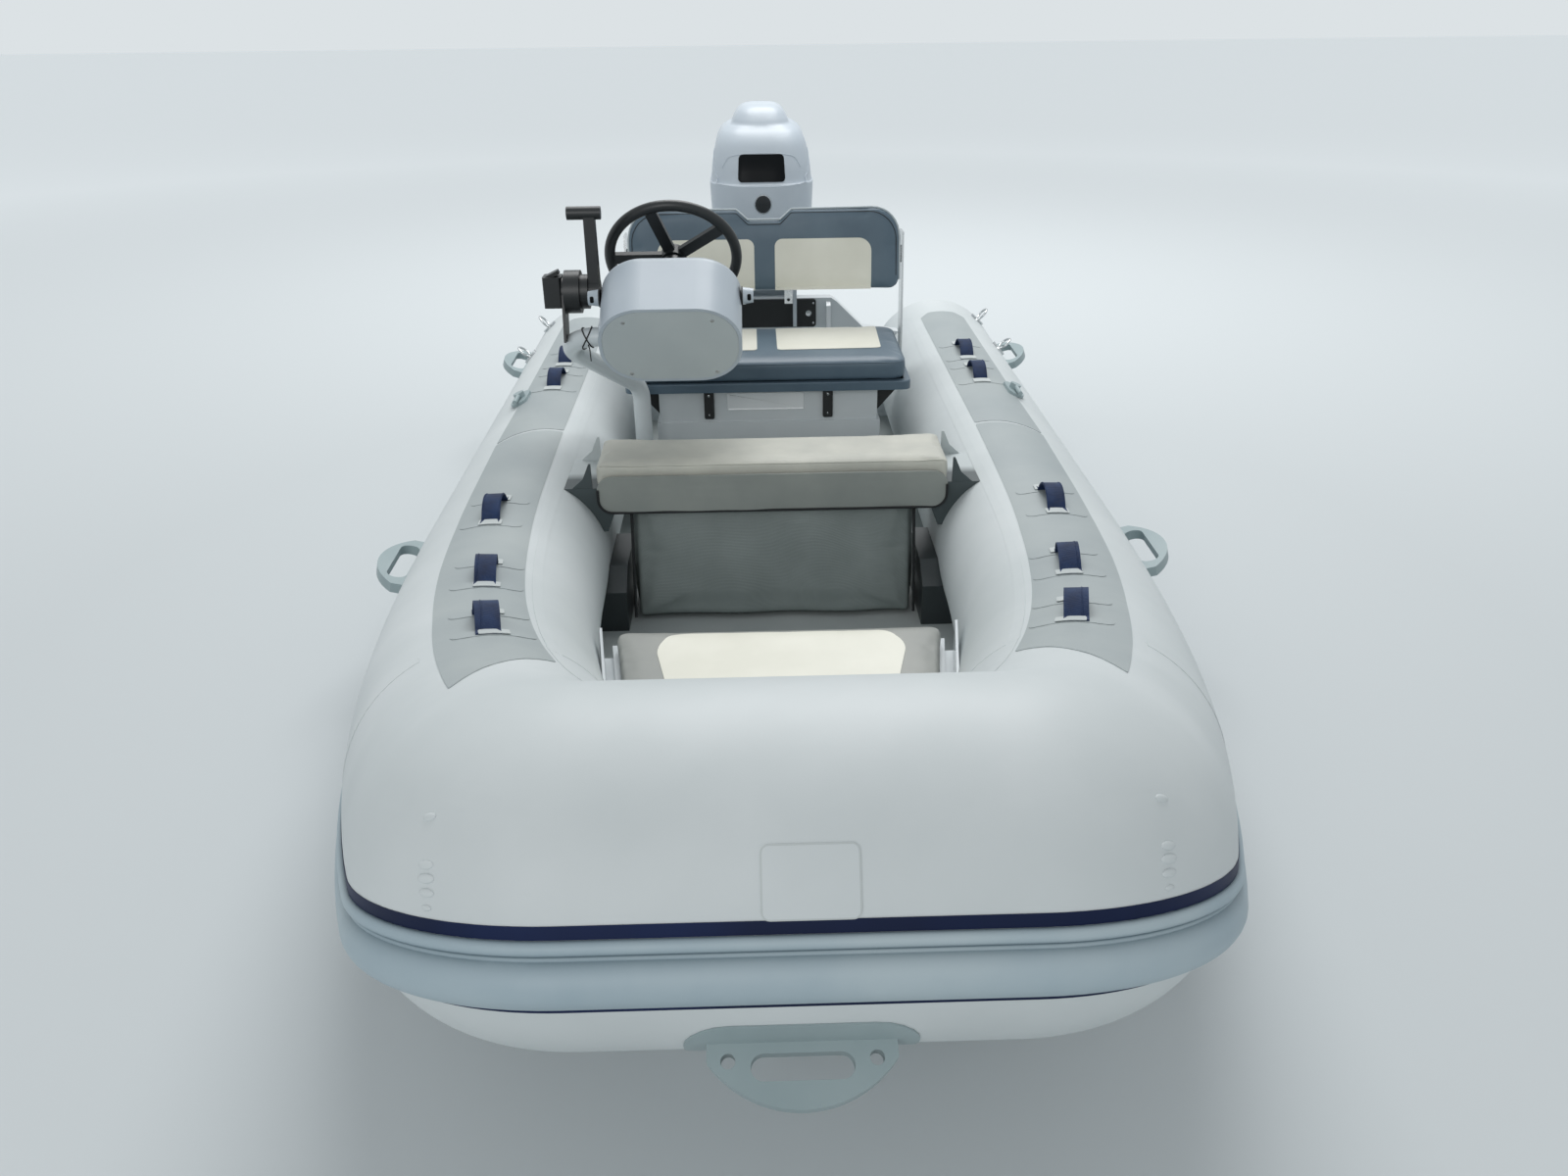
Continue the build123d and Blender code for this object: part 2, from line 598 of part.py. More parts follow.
with BuildPart() as console_plate:
    with BuildSketch(pod_plane.offset(plate_in - seat_gap)):
        RectangleRounded(pod_w - 17, pod_h - 17, pod_r - 8.5)
    extrude(amount=-plate_in)
console_plate.part.label = "console_plate"
export_step(console_plate.part, "parts/console_plate.step")

# Bent arm that carries the console, with its foot on the deck
pod_side = console_x - pod_w / 2


def arm_run(radius):
    """The bent arm as a rod of this radius, from the deck to the side of the console."""
    with BuildPart() as rod:
        with BuildLine() as path:
            FilletPolyline((post_x, post_y, deck_top), (post_x, post_y, post_top),
                           (elbow_x, elbow_y, elbow_z), (pod_side, elbow_y, elbow_z), radius=elbow_r)
        with BuildSketch(Plane.XY.offset(deck_top)):
            with Locations((post_x, post_y)):
                Circle(radius)
        sweep(path=path.line)
    return rod.part


with BuildPart() as console_arm:
    add(arm_run(arm_r))
    with BuildSketch(Plane.XY.offset(deck_top)):
        with Locations((post_x, post_y)):
            Circle(arm_r + 18)
    extrude(amount=8)
    with BuildSketch(Plane(origin=(pod_side, elbow_y, elbow_z), z_dir=(-1, 0, 0))):
        Circle(arm_r + 9)
    extrude(amount=8)
console_arm.part.label = "console_arm"
export_step(console_arm.part, "parts/console_arm.step")

# Domed lights on both sides of the console
light_along, light_up, light_r, light_out = 130.0, 30.0, 20.0, 28.0
column_up = Vector(0, -sin(radians(column_tilt)), cos(radians(column_tilt)))
with BuildPart() as nav_lights:
    for side in (-1, 1):
        spot = pod_front + column * light_along + column_up * light_up + Vector(side * pod_w / 2, 0, 0)
        with BuildSketch(Plane(origin=spot, z_dir=(side, 0, 0))):
            Circle(light_r)
        extrude(amount=light_out, taper=8)
nav_lights.part.label = "nav_lights"
export_step(nav_lights.part, "parts/nav_lights.step")

# Helm housing behind the console, and the wheel on it
hub_front = wheel_out - wheel_hub_t / 2 - 6
with BuildPart() as helm_hub:
    with BuildSketch(pod_plane.offset(pod_depth)):
        Circle(52)
    extrude(amount=14)
    with BuildSketch(pod_plane.offset(pod_depth)):
        Circle(34)
    extrude(amount=hub_front - pod_depth, taper=4)
    with BuildSketch(pod_plane.offset(hub_front)):
        Circle(9)
    extrude(amount=5.5)
helm_hub.part.label = "helm_hub"
export_step(helm_hub.part, "parts/helm_hub.step")

wheel_plane = pod_plane.offset(wheel_out)
with BuildPart() as steering_wheel:
    with BuildSketch(Plane(origin=wheel_plane.origin, x_dir=(1, 0, 0), z_dir=wheel_plane.y_dir * -1)):
        with Locations((wheel_r, 0)):
            Circle(rim_r)
    revolve(axis=Axis(wheel_plane.origin, column))
    with BuildSketch(wheel_plane.offset(-wheel_hub_t / 2)):
        Circle(wheel_hub_r)
    extrude(amount=wheel_hub_t)
    with BuildSketch(wheel_plane.offset(-7)):
        with PolarLocations(wheel_r / 2, spoke_count, 36):
            Rectangle(wheel_r, spoke_w)
    extrude(amount=12)
    fillet(steering_wheel.faces().sort_by(Axis(wheel_plane.origin, column))[-1].edges(), 6)
steering_wheel.part.label = "steering_wheel"
export_step(steering_wheel.part, "parts/steering_wheel.step")

# Engine control: a round two-part housing on a plate that stands on the console arm
stand_half, stand_t, stand_foot = 34.0, 6.0, elbow_z - 12
with BuildPart() as control_box:
    with BuildSketch(Plane(origin=(control_in, control_y, control_z), z_dir=(-1, 0, 0))):
        Circle(control_r * 0.8)
    extrude(amount=control_in - control_mid)
    with BuildSketch(Plane(origin=(control_mid, control_y, control_z), z_dir=(-1, 0, 0))):
        Circle(control_r)
    extrude(amount=control_mid - control_out)
    with BuildSketch(Plane.YZ.offset(control_out)):
        with Locations((control_y, control_z)):
            Circle(stand_half)
        Polygon((control_y + stand_half, control_z), (elbow_y + arm_r + 26, stand_foot),
                (elbow_y - 6, stand_foot), (control_y - stand_half, control_z), align=None)
    extrude(amount=-stand_t)
    add(arm_run(arm_r + seat_gap), mode=Mode.SUBTRACT)
control_box.part.label = "control_box"
export_step(control_box.part, "parts/control_box.step")

# Its lever: a round root, an arm that narrows upward and a grip across the top
lever_t, root_r, arm_low, arm_high, grip_past = 26.0, 30.0, 38.0, 24.0, 27.0
lever_x = control_in + lever_t / 2 + seat_gap
with BuildPart() as control_lever:
    with BuildSketch(Plane(origin=(lever_x, control_y, control_z), x_dir=(0, 1, 0), z_dir=(1, 0, 0))):
        Circle(root_r)
        Polygon((-arm_low / 2, 0), (arm_low / 2, 0), (arm_high / 2, lever_len),
                (-arm_high / 2, lever_len), align=None)
    extrude(amount=lever_t / 2, both=True)
    with BuildSketch(Plane(origin=(lever_x + grip_past, control_y, control_z + lever_len),
                           z_dir=(-1, 0, 0))):
        Circle(grip_r)
    extrude(amount=grip_len)
control_lever.part.label = "control_lever"
export_step(control_lever.part, "parts/control_lever.step")

# Engine stop switch on the outside of the same plate
switch_w, switch_d, switch_h, switch_tilt = 44.0, 46.0, 72.0, 25.0
switch_x = control_out - stand_t - switch_w / 2 - seat_gap
with BuildPart() as switch_box:
    with Locations((switch_x, control_y, control_z + 2)):
        Box(switch_w, switch_d, switch_h)
    fillet(switch_box.edges().filter_by(Axis.Z), 6)
    with BuildSketch(Plane(origin=(switch_x, control_y, control_z + switch_h / 2), x_dir=(1, 0, 0),
                           z_dir=(0, 0, 1)).rotated((0, -switch_tilt, 0))):
        RectangleRounded(switch_w - 4, switch_d - 16, 8)
    extrude(amount=9)
switch_box.part.label = "switch_box"
export_step(switch_box.part, "parts/switch_box.step")

# Strap handles on the crown of the side chambers
# Columns: y of the handle, lean inboard in degrees
strap_places = [(870, 0), (643, 0), (-310, 0), (-722, -6), (-1057, -7)]
strap_foot, strap_len, strap_rise, strap_w, strap_t = 26.0, 170.0, 34.0, 38.0, 3.0
# A strap is straight, so over the hollow of the bend its middle stands a little proud
strap_hollow = (strap_len / 2) ** 2 / (2 * bend_r)
with BuildPart() as strap_handles:
    for y, lean in strap_places:
        frame = chamber_frame(y, lean)
        side_view = Plane(origin=frame.origin, x_dir=frame.x_dir, z_dir=frame.y_dir * -1)
        base = tube_r + seat_gap + (strap_hollow if y < sheer_y else 0)
        half_len = strap_len / 2
        with BuildSketch(side_view):
            with BuildLine():
                crest = base + strap_rise
                Polyline((-half_len + strap_foot, base), (-half_len, base), (-half_len, base + strap_t),
                         (-half_len + strap_foot, base + strap_t))
                ThreePointArc((-half_len + strap_foot, base + strap_t), (0, crest),
                              (half_len - strap_foot, base + strap_t))
                Polyline((half_len - strap_foot, base + strap_t), (half_len, base + strap_t),
                         (half_len, base), (half_len - strap_foot, base))
                ThreePointArc((half_len - strap_foot, base), (0, crest - strap_t),
                              (-half_len + strap_foot, base))
            make_face()
        extrude(amount=strap_w / 2, both=True)
    mirror(about=Plane.YZ)
strap_handles.part.label = "strap_handles"
export_step(strap_handles.part, "parts/strap_handles.step")

# Moulded handles on the outside of the side chambers
# Columns: y of the handle, lean outboard in degrees
grip_places = [(-225, 76), (1290, 72)]
loop_len, loop_out, loop_bar, loop_t = 230.0, 82.0, 24.0, 22.0
with BuildPart() as side_handles:
    for y, lean in grip_places:
        frame = chamber_frame(y, lean)
        flat = Plane(origin=frame.origin, x_dir=frame.x_dir, z_dir=frame.y_dir * -1)
        with BuildSketch(flat):
            with BuildLine():
                Polyline((-loop_len / 2, tube_r + 30), (-loop_len / 2, tube_r - 8),
                         (loop_len / 2, tube_r - 8), (loop_len / 2, tube_r + 30))
                ThreePointArc((loop_len / 2, tube_r + 30), (0, tube_r + loop_out),
                              (-loop_len / 2, tube_r + 30))
            make_face()
            with Locations((0, tube_r + 29)):
                SlotOverall(loop_len - 2.6 * loop_bar, 42, mode=Mode.SUBTRACT)
        extrude(amount=loop_t / 2, both=True)
    mirror(about=Plane.YZ)
    add(chamber_space.part, mode=Mode.SUBTRACT)
side_handles.part.label = "side_handles"
export_step(side_handles.part, "parts/side_handles.step")

# Lifting handle low on the bow chamber, with a rope hole at each end
bow_grip_drop, bow_grip_half, bow_grip_out, bow_hole_x, bow_hole_r = 31.0, 103.0, 70.0, 80.0, 8.0
bow_centre = Vector(0, front_start.Y, front_start.Z)
bow_out = Vector(0, -cos(radians(bow_grip_drop)), -sin(radians(bow_grip_drop)))
bow_flat = Plane(origin=bow_centre, x_dir=(1, 0, 0), z_dir=Vector(1, 0, 0).cross(bow_out))
with BuildPart() as bow_handle:
    with BuildSketch(bow_flat):
        with BuildLine():
            Polyline((-bow_grip_half, tube_r + 20), (-bow_grip_half, tube_r - 8),
                     (bow_grip_half, tube_r - 8), (bow_grip_half, tube_r + 20))
            ThreePointArc((bow_grip_half, tube_r + 20), (0, tube_r + bow_grip_out),
                          (-bow_grip_half, tube_r + 20))
        make_face()
        with Locations((0, tube_r + 27)):
            SlotOverall(112, 28, mode=Mode.SUBTRACT)
        with Locations((-bow_hole_x, tube_r + 20), (bow_hole_x, tube_r + 20)):
            Circle(bow_hole_r, mode=Mode.SUBTRACT)
    extrude(amount=11, both=True)
    add(chamber_space.part, mode=Mode.SUBTRACT)
bow_handle.part.label = "bow_handle"
export_step(bow_handle.part, "parts/bow_handle.step")

# Folding rowlocks, lying down on round pads
rowlock_y, rowlock_lean = 518.0, 22.0
rowlock_post_r, rowlock_horn_r, rowlock_horn = 15.0, 6.0, 70.0
with BuildPart() as rowlocks:
    pad_plane = chamber_frame(rowlock_y, rowlock_lean).offset(tube_r - 6)
    with BuildSketch(pad_plane):
        SlotOverall(110, 46)
    extrude(amount=14)
    with BuildSketch(pad_plane.offset(12)):
        Circle(rowlock_post_r)
    extrude(amount=16)
    with BuildSketch(Plane(origin=pad_plane.from_local_coords((0, 0, 22)), z_dir=pad_plane.x_dir)):
        Circle(rowlock_horn_r)
    extrude(amount=rowlock_horn)
    add(chamber_space.part, mode=Mode.SUBTRACT)
    mirror(about=Plane.YZ)
rowlocks.part.label = "rowlocks"
export_step(rowlocks.part, "parts/rowlocks.step")

# Lifting rings on low pads along the chambers
# Columns: y of the ring, lean outboard in degrees
ring_places = [(1150, 50), (1440, 42)]
ring_r, ring_wire, ring_pad_r, ring_pad_t, pad_sink = 21.0, 3.5, 26.0, 6.0, 4.0
with BuildPart() as lifting_rings:
    for y, lean in ring_places:
        with BuildSketch(chamber_frame(y, lean).offset(tube_r - pad_sink)):
            Circle(ring_pad_r)
        extrude(amount=ring_pad_t + pad_sink)
    add(chamber_space.part, mode=Mode.SUBTRACT)
    for y, lean in ring_places:
        pad_plane = chamber_frame(y, lean)
        stand = pad_plane.from_local_coords((0, 0, tube_r + ring_pad_t + ring_r))
        with Locations(Plane(origin=stand, z_dir=pad_plane.y_dir)):
            Torus(ring_r, ring_wire)
    mirror(about=Plane.YZ)
lifting_rings.part.label = "lifting_rings"
export_step(lifting_rings.part, "parts/lifting_rings.step")

# Eye on the raking stem for towing
eye_r, eye_hole_r, eye_t, eye_out_of_stem, eye_along = 22.0, 9.0, 10.0, 16.0, 0.5
stem_foot, stem_head = Vector(*hull_sections[-2][:2]), Vector(*hull_sections[-1][:2])
stem_dir = (stem_head - stem_foot).normalized()
stem_out = Vector(-stem_dir.Y, stem_dir.X)
eye_root = stem_foot + (stem_head - stem_foot) * eye_along
eye_centre = eye_root + stem_out * (eye_out_of_stem if stem_out.Y < 0 else -eye_out_of_stem)
with BuildPart() as tow_eye:
    with BuildSketch(Plane.YZ):
        with Locations((eye_centre.X, eye_centre.Y)):
            Circle(eye_r)
            Circle(eye_hole_r, mode=Mode.SUBTRACT)
        with Locations(Location((eye_root.X, eye_root.Y, 0), degrees(atan2(stem_dir.Y, stem_dir.X)))):
            Rectangle(4 * eye_r, 4)
    extrude(amount=eye_t / 2, both=True)
    add(hull.part, mode=Mode.SUBTRACT)
tow_eye.part.label = "tow_eye"
export_step(tow_eye.part, "parts/tow_eye.step")

# Engine clamp bracket, two hooked side plates joined by the tilt tube
hook_y = transom_y - pad_t - seat_gap
with BuildPart() as engine_bracket:
    with BuildSketch(Plane.YZ.offset(clamp_x)):
        with BuildLine():
            Polyline((hook_y, 380), (hook_y, transom_top + seat_gap), (stern_y + seat_gap, transom_top + seat_gap),
                     (stern_y + seat_gap, 190), (1398, 190), (1410, 480), (1405, 528), (1368, 538),
                     (1300, 528), (1282, 500), (1282, 380), close=True)
        make_face()
    extrude(amount=clamp_t)
    with BuildSketch(Plane.YZ):
        with Locations((tilt_y, tilt_z)):
            Circle(tilt_r)
    extrude(amount=clamp_x + clamp_t + 12)
    with BuildSketch(Plane.YZ):
        with Locations((1384, 215)):
            Rectangle(26, 30)
    extrude(amount=clamp_x)
    mirror(about=Plane.YZ)
engine_bracket.part.label = "engine_bracket"
export_step(engine_bracket.part, "parts/engine_bracket.step")

# Swivel bracket: turns on the tilt tube and holds the steering sleeve
sleeve_bottom, sleeve_top, sleeve_r = 262.0, 496.0, 27.0
eye_out = clamp_x - swing_gap
with BuildPart() as swivel_bracket:
    with BuildSketch(Plane.XY.offset(sleeve_bottom)):
        with Locations((0, king_y)):
            Circle(sleeve_r)
    extrude(amount=sleeve_top - sleeve_bottom)
    with BuildSketch(Plane.YZ):
        with Locations((tilt_y, tilt_z)):
            Circle(26)
        with BuildLine():
            Polyline((tilt_y, tilt_z - 26), (tilt_y + 12, tilt_z - 14), (king_y, sleeve_top - 10),
                     (king_y, 330), (tilt_y + 40, 400), close=True)
        make_face()
    extrude(amount=eye_out, both=True)
    with BuildSketch(Plane.YZ):
        with Locations((tilt_y, tilt_z)):
            Circle(tilt_r + run_gap)
    extrude(amount=eye_out + 1, both=True, mode=Mode.SUBTRACT)
    with BuildSketch(Plane.XY):
        with Locations((0, king_y)):
            Circle(king_r + run_gap)
    extrude(amount=sleeve_top + 40, mode=Mode.SUBTRACT)
swivel_bracket.part.label = "swivel_bracket"
export_step(swivel_bracket.part, "parts/swivel_bracket.step")

# Engine leg with its steering pin, yokes and anti-ventilation plate
# Columns: z, width, length fore and aft, y of the middle
leg_sections = [(pan_bottom, 190, 250, 1625), (400, 120, 190, 1595), (200, 84, 170, 1590),
                (plate_z, 62, 165, 1585)]
yoke_gap, yoke_t = 4.0, 24.0
with BuildPart() as midsection:
    for z, width, length, middle in leg_sections:
        with BuildSketch(Plane.XY.offset(z)):
            with Locations((0, middle)):
                Ellipse(width / 2, length / 2)
    loft()
    for z in (sleeve_top + yoke_gap, sleeve_bottom - yoke_gap - yoke_t):
        with BuildSketch(Plane.XY.offset(z)):
            with Locations((0, king_y)):
                Circle(30)
            with Locations((0, (king_y + 1570) / 2)):
                Rectangle(60, 1570 - king_y)
        extrude(amount=yoke_t)
    with BuildSketch(Plane.XY.offset(sleeve_bottom - yoke_gap - yoke_t)):
        with Locations((0, king_y)):
            Circle(king_r)
    extrude(amount=sleeve_top - sleeve_bottom + 2 * (yoke_gap + yoke_t))
midsection.part.label = "midsection"
export_step(midsection.part, "parts/midsection.step")

# Gearcase: plate, strut, torpedo and skeg
torpedo_r, torpedo_nose, skeg_bottom, shaft_r, shaft_len = 40.0, 1405.0, -395.0, 9.0, 115.0
with BuildPart() as gearcase:
    with BuildSketch(Plane.XY.offset(plate_z - seat_gap)):
        with Locations((0, 1625)):
            Ellipse(92, 165)
    extrude(amount=-8)
    with BuildSketch(Plane.XY.offset(plate_z - seat_gap)):
        with Locations((0, 1560)):
            Ellipse(29, 80)
    extrude(amount=prop_z - plate_z)
    with BuildSketch(Plane.XY.offset(prop_z)):
        with BuildLine():
            Polyline((0, prop_y - 4), (0, torpedo_nose))
            ThreePointArc((0, torpedo_nose), (torpedo_r * 0.72, torpedo_nose + 48), (torpedo_r, torpedo_nose + 120))
            Polyline((torpedo_r, torpedo_nose + 120), (torpedo_r - 4, prop_y - 4), (0, prop_y - 4))
        make_face()
    revolve(axis=Axis((0, 0, prop_z), (0, 1, 0)))
    with BuildSketch(Plane.YZ):
        with BuildLine():
            Polyline((1500, prop_z - 25), (1545, skeg_bottom), (1600, skeg_bottom), (1640, prop_z - 25), close=True)
        make_face()
    extrude(amount=4, both=True)
    with BuildSketch(Plane(origin=(0, prop_y - 10, prop_z), z_dir=(0, 1, 0))):
        Circle(shaft_r)
    extrude(amount=shaft_len)
gearcase.part.label = "gearcase"
export_step(gearcase.part, "parts/gearcase.step")

# Propeller with three twisted blades
hub_r, hub_len, blade_count = 34.0, 92.0, 3
# Columns: radius, chord, pitch angle in degrees, thickness
blade_sections = [(26, 62, 52, 9), (78, 98, 34, 6), (116, 52, 24, 3)]
with BuildPart() as blade:
    for radius, chord, pitch, thickness in blade_sections:
        with BuildSketch(Plane.XY.offset(radius).rotated((0, 0, pitch))):
            Ellipse(chord / 2, thickness / 2)
    loft()
hub_plane = Plane(origin=(0, prop_y, prop_z), x_dir=(1, 0, 0), z_dir=(0, 1, 0))
with BuildPart() as propeller:
    with BuildSketch(hub_plane):
        Circle(hub_r)
    extrude(amount=hub_len)
    with Locations((0, prop_y + hub_len / 2, prop_z)):
        for number in range(blade_count):
            add(blade.part, rotation=(0, number * 360 / blade_count, 0))
    with BuildSketch(hub_plane):
        Circle(shaft_r + run_gap)
    extrude(amount=hub_len, mode=Mode.SUBTRACT)
propeller.part.label = "propeller"
export_step(propeller.part, "parts/propeller.step")

# Lower cowl: the pan under the engine
# Columns: z, width, length, y of the middle, corner radius
pan_sections = [(pan_bottom + seat_gap, 210, 330, cowl_y - 10, 80), (pan_top, 336, 520, cowl_y, 120)]
with BuildPart() as lower_cowl:
    for z, width, length, middle, corner in pan_sections:
        with BuildSketch(Plane.XY.offset(z)):
            with Locations((0, middle)):
                RectangleRounded(width, length, corner)
    loft()
lower_cowl.part.label = "lower_cowl"
export_step(lower_cowl.part, "parts/lower_cowl.step")

# Engine block under the cowl
block_w, block_len, block_h, block_corner = 200.0, 340.0, 200.0, 30.0
with BuildPart() as powerhead:
    with Locations((0, cowl_y + 15, pan_top + seat_gap + block_h / 2)):
        Box(block_w, block_len, block_h)
    fillet(powerhead.edges().filter_by(Axis.Z), block_corner)
powerhead.part.label = "powerhead"
export_step(powerhead.part, "parts/powerhead.step")

# Cowl, one hollow moulding: an upright skirt, a hood that rounds over, and a raised crown
# Columns: height over the pan, width, length, y of the middle after cowl_y, corner radius
skirt_sections = [(0, 332, 520, 0, 120), (113, 342, 514, 4, 122)]
hood_sections = [(112, 334, 494, 8, 118), (170, 322, 470, 14, 116), (225, 298, 430, 22, 112),
                 (262, 262, 376, 29, 104), (280, 214, 322, 34, 90)]
crown_sections = [(250, 186, 320, 32, 84), (300, 170, 292, 37, 78), (325, 136, 248, 42, 62),
                  (338, 84, 190, 46, 40)]
cowl_tiers = (skirt_sections, hood_sections, crown_sections)


def cowl_form(inset):
    """The three tiers of the cowl as one solid, drawn in by this much on every side."""
    with BuildPart() as form:
        for tier in cowl_tiers:
            for height, width, length, middle, corner in tier:
                drop = inset if height > 0 else 0
                with BuildSketch(Plane.XY.offset(pan_top + seat_gap + height - drop)):
                    with Locations((0, cowl_y + middle)):
                        RectangleRounded(width - 2 * inset, length - 2 * inset, corner - inset)
            loft(ruled=True)
    return form.part


with BuildPart() as cowl:
    add(cowl_form(0))
    add(cowl_form(cowl_wall), mode=Mode.SUBTRACT)
cowl.part.label = "cowl"
export_step(cowl.part, "parts/cowl.step")
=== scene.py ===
# %% [markdown]
# # Dressing a rigid inflatable boat
#
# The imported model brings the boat's real sizes. This lesson gives it its looks: coated
# fabric, moulded plastic, vinyl cushions, webbing, a lacquered engine, a floor and light.
# All lengths are in metres. The bow points along -Y, port is +X, and z = 0 is the waterline.

# %% Load the frame
import json
from math import asin, atan2, cos, degrees, hypot, pi, radians, sin, tan

import bmesh
import bpy
from mathutils import Matrix, Quaternion, Vector
from mathutils.bvhtree import BVHTree
from mathutils.noise import noise


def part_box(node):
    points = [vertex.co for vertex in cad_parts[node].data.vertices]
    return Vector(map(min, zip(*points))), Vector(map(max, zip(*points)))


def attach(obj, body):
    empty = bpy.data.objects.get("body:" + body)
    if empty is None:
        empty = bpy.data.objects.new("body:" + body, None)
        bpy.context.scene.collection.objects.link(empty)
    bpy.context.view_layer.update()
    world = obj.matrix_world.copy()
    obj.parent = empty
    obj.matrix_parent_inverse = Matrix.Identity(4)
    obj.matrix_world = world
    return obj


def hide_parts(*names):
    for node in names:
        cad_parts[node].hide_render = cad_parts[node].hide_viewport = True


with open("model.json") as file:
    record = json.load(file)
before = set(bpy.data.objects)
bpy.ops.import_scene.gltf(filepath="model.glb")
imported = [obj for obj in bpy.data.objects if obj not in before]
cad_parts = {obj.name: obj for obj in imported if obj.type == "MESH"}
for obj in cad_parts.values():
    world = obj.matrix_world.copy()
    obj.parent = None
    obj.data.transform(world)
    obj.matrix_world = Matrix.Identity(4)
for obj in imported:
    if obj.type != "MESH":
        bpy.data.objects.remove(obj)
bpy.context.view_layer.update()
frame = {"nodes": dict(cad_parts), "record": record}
MM = 0.001

# %% [markdown]
# ## Helpers for colour and nodes
#
# A colour is picked as an sRGB hex value, but shader sockets take linear light, so one
# function turns it. Another adds a node with its settings, its values and its links.

# %% Colour and node helpers


def colour(hex_value):
    """Linear colour, as shader sockets take it, of an sRGB hex value."""
    shades = [int(hex_value[place:place + 2], 16) / 255 for place in (0, 2, 4)]
    return [s / 12.92 if s <= 0.04045 else ((s + 0.055) / 1.055) ** 2.4 for s in shades] + [1.0]


def add_node(tree, kind, values=None, links=None, **settings):
    """Adds a node with its settings, its sockets' values and what is linked into them."""
    node = tree.nodes.new(kind)
    for name, value in settings.items():
        setattr(node, name, value)
    for socket, value in (values or {}).items():
        node.inputs[socket].default_value = value
    for socket, source in (links or {}).items():
        tree.links.new(source, node.inputs[socket])
    return node


# %% [markdown]
# ## What every finish starts from
#
# A finish is a Principled shader with the constants of the real material. Most surfaces
# also vary: clouds of two near shades stand for dust and handling, and a fine relief
# stands for grain or weave. Pattern sizes are given in millimetres.

# %% Base of a finish
finishes = {}


def new_finish(name, base, roughness, values=None):
    """A material in one colour. Gives its node tree, its shader and Object coordinates."""
    material = bpy.data.materials.new(name)
    material.use_nodes = True
    tree = material.node_tree
    shader = tree.nodes["Principled BSDF"]
    shader.inputs["Base Color"].default_value = colour(base)
    shader.inputs["Roughness"].default_value = roughness
    for socket, value in (values or {}).items():
        shader.inputs[socket].default_value = value
    finishes[name] = material
    where = add_node(tree, "ShaderNodeTexCoord").outputs["Object"]
    return tree, shader, where


def cloud_colour(tree, shader, where, shades, size_mm, detail=4.0):
    """Clouds between two shades, this many millimetres across, as the surface colour."""
    clouds = add_node(tree, "ShaderNodeTexNoise", {"Scale": 1000 / size_mm, "Detail": detail},
                      {"Vector": where})
    ramp = add_node(tree, "ShaderNodeValToRGB", links={"Fac": clouds.outputs["Fac"]})
    for stop, place, shade in zip(ramp.color_ramp.elements, (0.32, 0.68), shades):
        stop.position = place
        stop.color = colour(shade)
    tree.links.new(ramp.outputs["Color"], shader.inputs["Base Color"])
    return ramp.outputs["Color"]


def relief(tree, shader, height, depth_mm):
    """A bump of this depth from a height pattern."""
    bump = add_node(tree, "ShaderNodeBump", {"Strength": 1.0, "Distance": depth_mm * MM},
                    {"Height": height})
    tree.links.new(bump.outputs["Normal"], shader.inputs["Normal"])


def grain(tree, where, size_mm, detail=2.0):
    """Height of a fine grain, as of moulded or calendered plastic."""
    return add_node(tree, "ShaderNodeTexNoise", {"Scale": 1000 / size_mm, "Detail": detail},
                    {"Vector": where}).outputs["Fac"]


def weave(tree, where, thread_mm):
    """Height of crossing threads, whichever way the cloth faces."""
    period = 100 * pi / thread_mm
    threads = [add_node(tree, "ShaderNodeTexWave", {"Scale": period, "Distortion": 0.3},
                        {"Vector": where}, bands_direction=axis).outputs["Fac"] for axis in "XYZ"]
    pair = add_node(tree, "ShaderNodeMath", links={0: threads[0], 1: threads[1]}, operation="ADD")
    return add_node(tree, "ShaderNodeMath", links={0: pair.outputs[0], 1: threads[2]},
                    operation="ADD").outputs[0]


# %% [markdown]
# ## Chamber fabric
#
# The chambers are polyester cloth coated with PVC, calendered smooth. The coating gives a
# satin gloss and hides the cloth, and what shows is a fine grain and a very slight slackness
# of the skin. Glued patches are cut from the same cloth in grey.

# %% Chamber fabric
# Coated fabric, calendered: satin, with broad soft highlights that waver a little. The
# grain is drawn coarser than it is, so that it shows
for fabric_name, shades, gloss in (("coated_fabric_white", ("C9D0D1", "D3D9DA"), 0.52),
                                   ("coated_fabric_grey", ("9CA5A7", "A9B1B1"), 0.5),
                                   ("coated_fabric_pale", ("BBC2C2", "C6CCCB"), 0.5)):
    tree, shader, where = new_finish(fabric_name, shades[0], gloss, {"IOR": 1.5})
    cloud_colour(tree, shader, where, shades, 260)
    slack = grain(tree, where, 110)
    skin = add_node(tree, "ShaderNodeMath", {1: 12.0}, {0: slack, 2: grain(tree, where, 1.5)},
                    operation="MULTIPLY_ADD")
    relief(tree, shader, skin.outputs[0], 0.06)
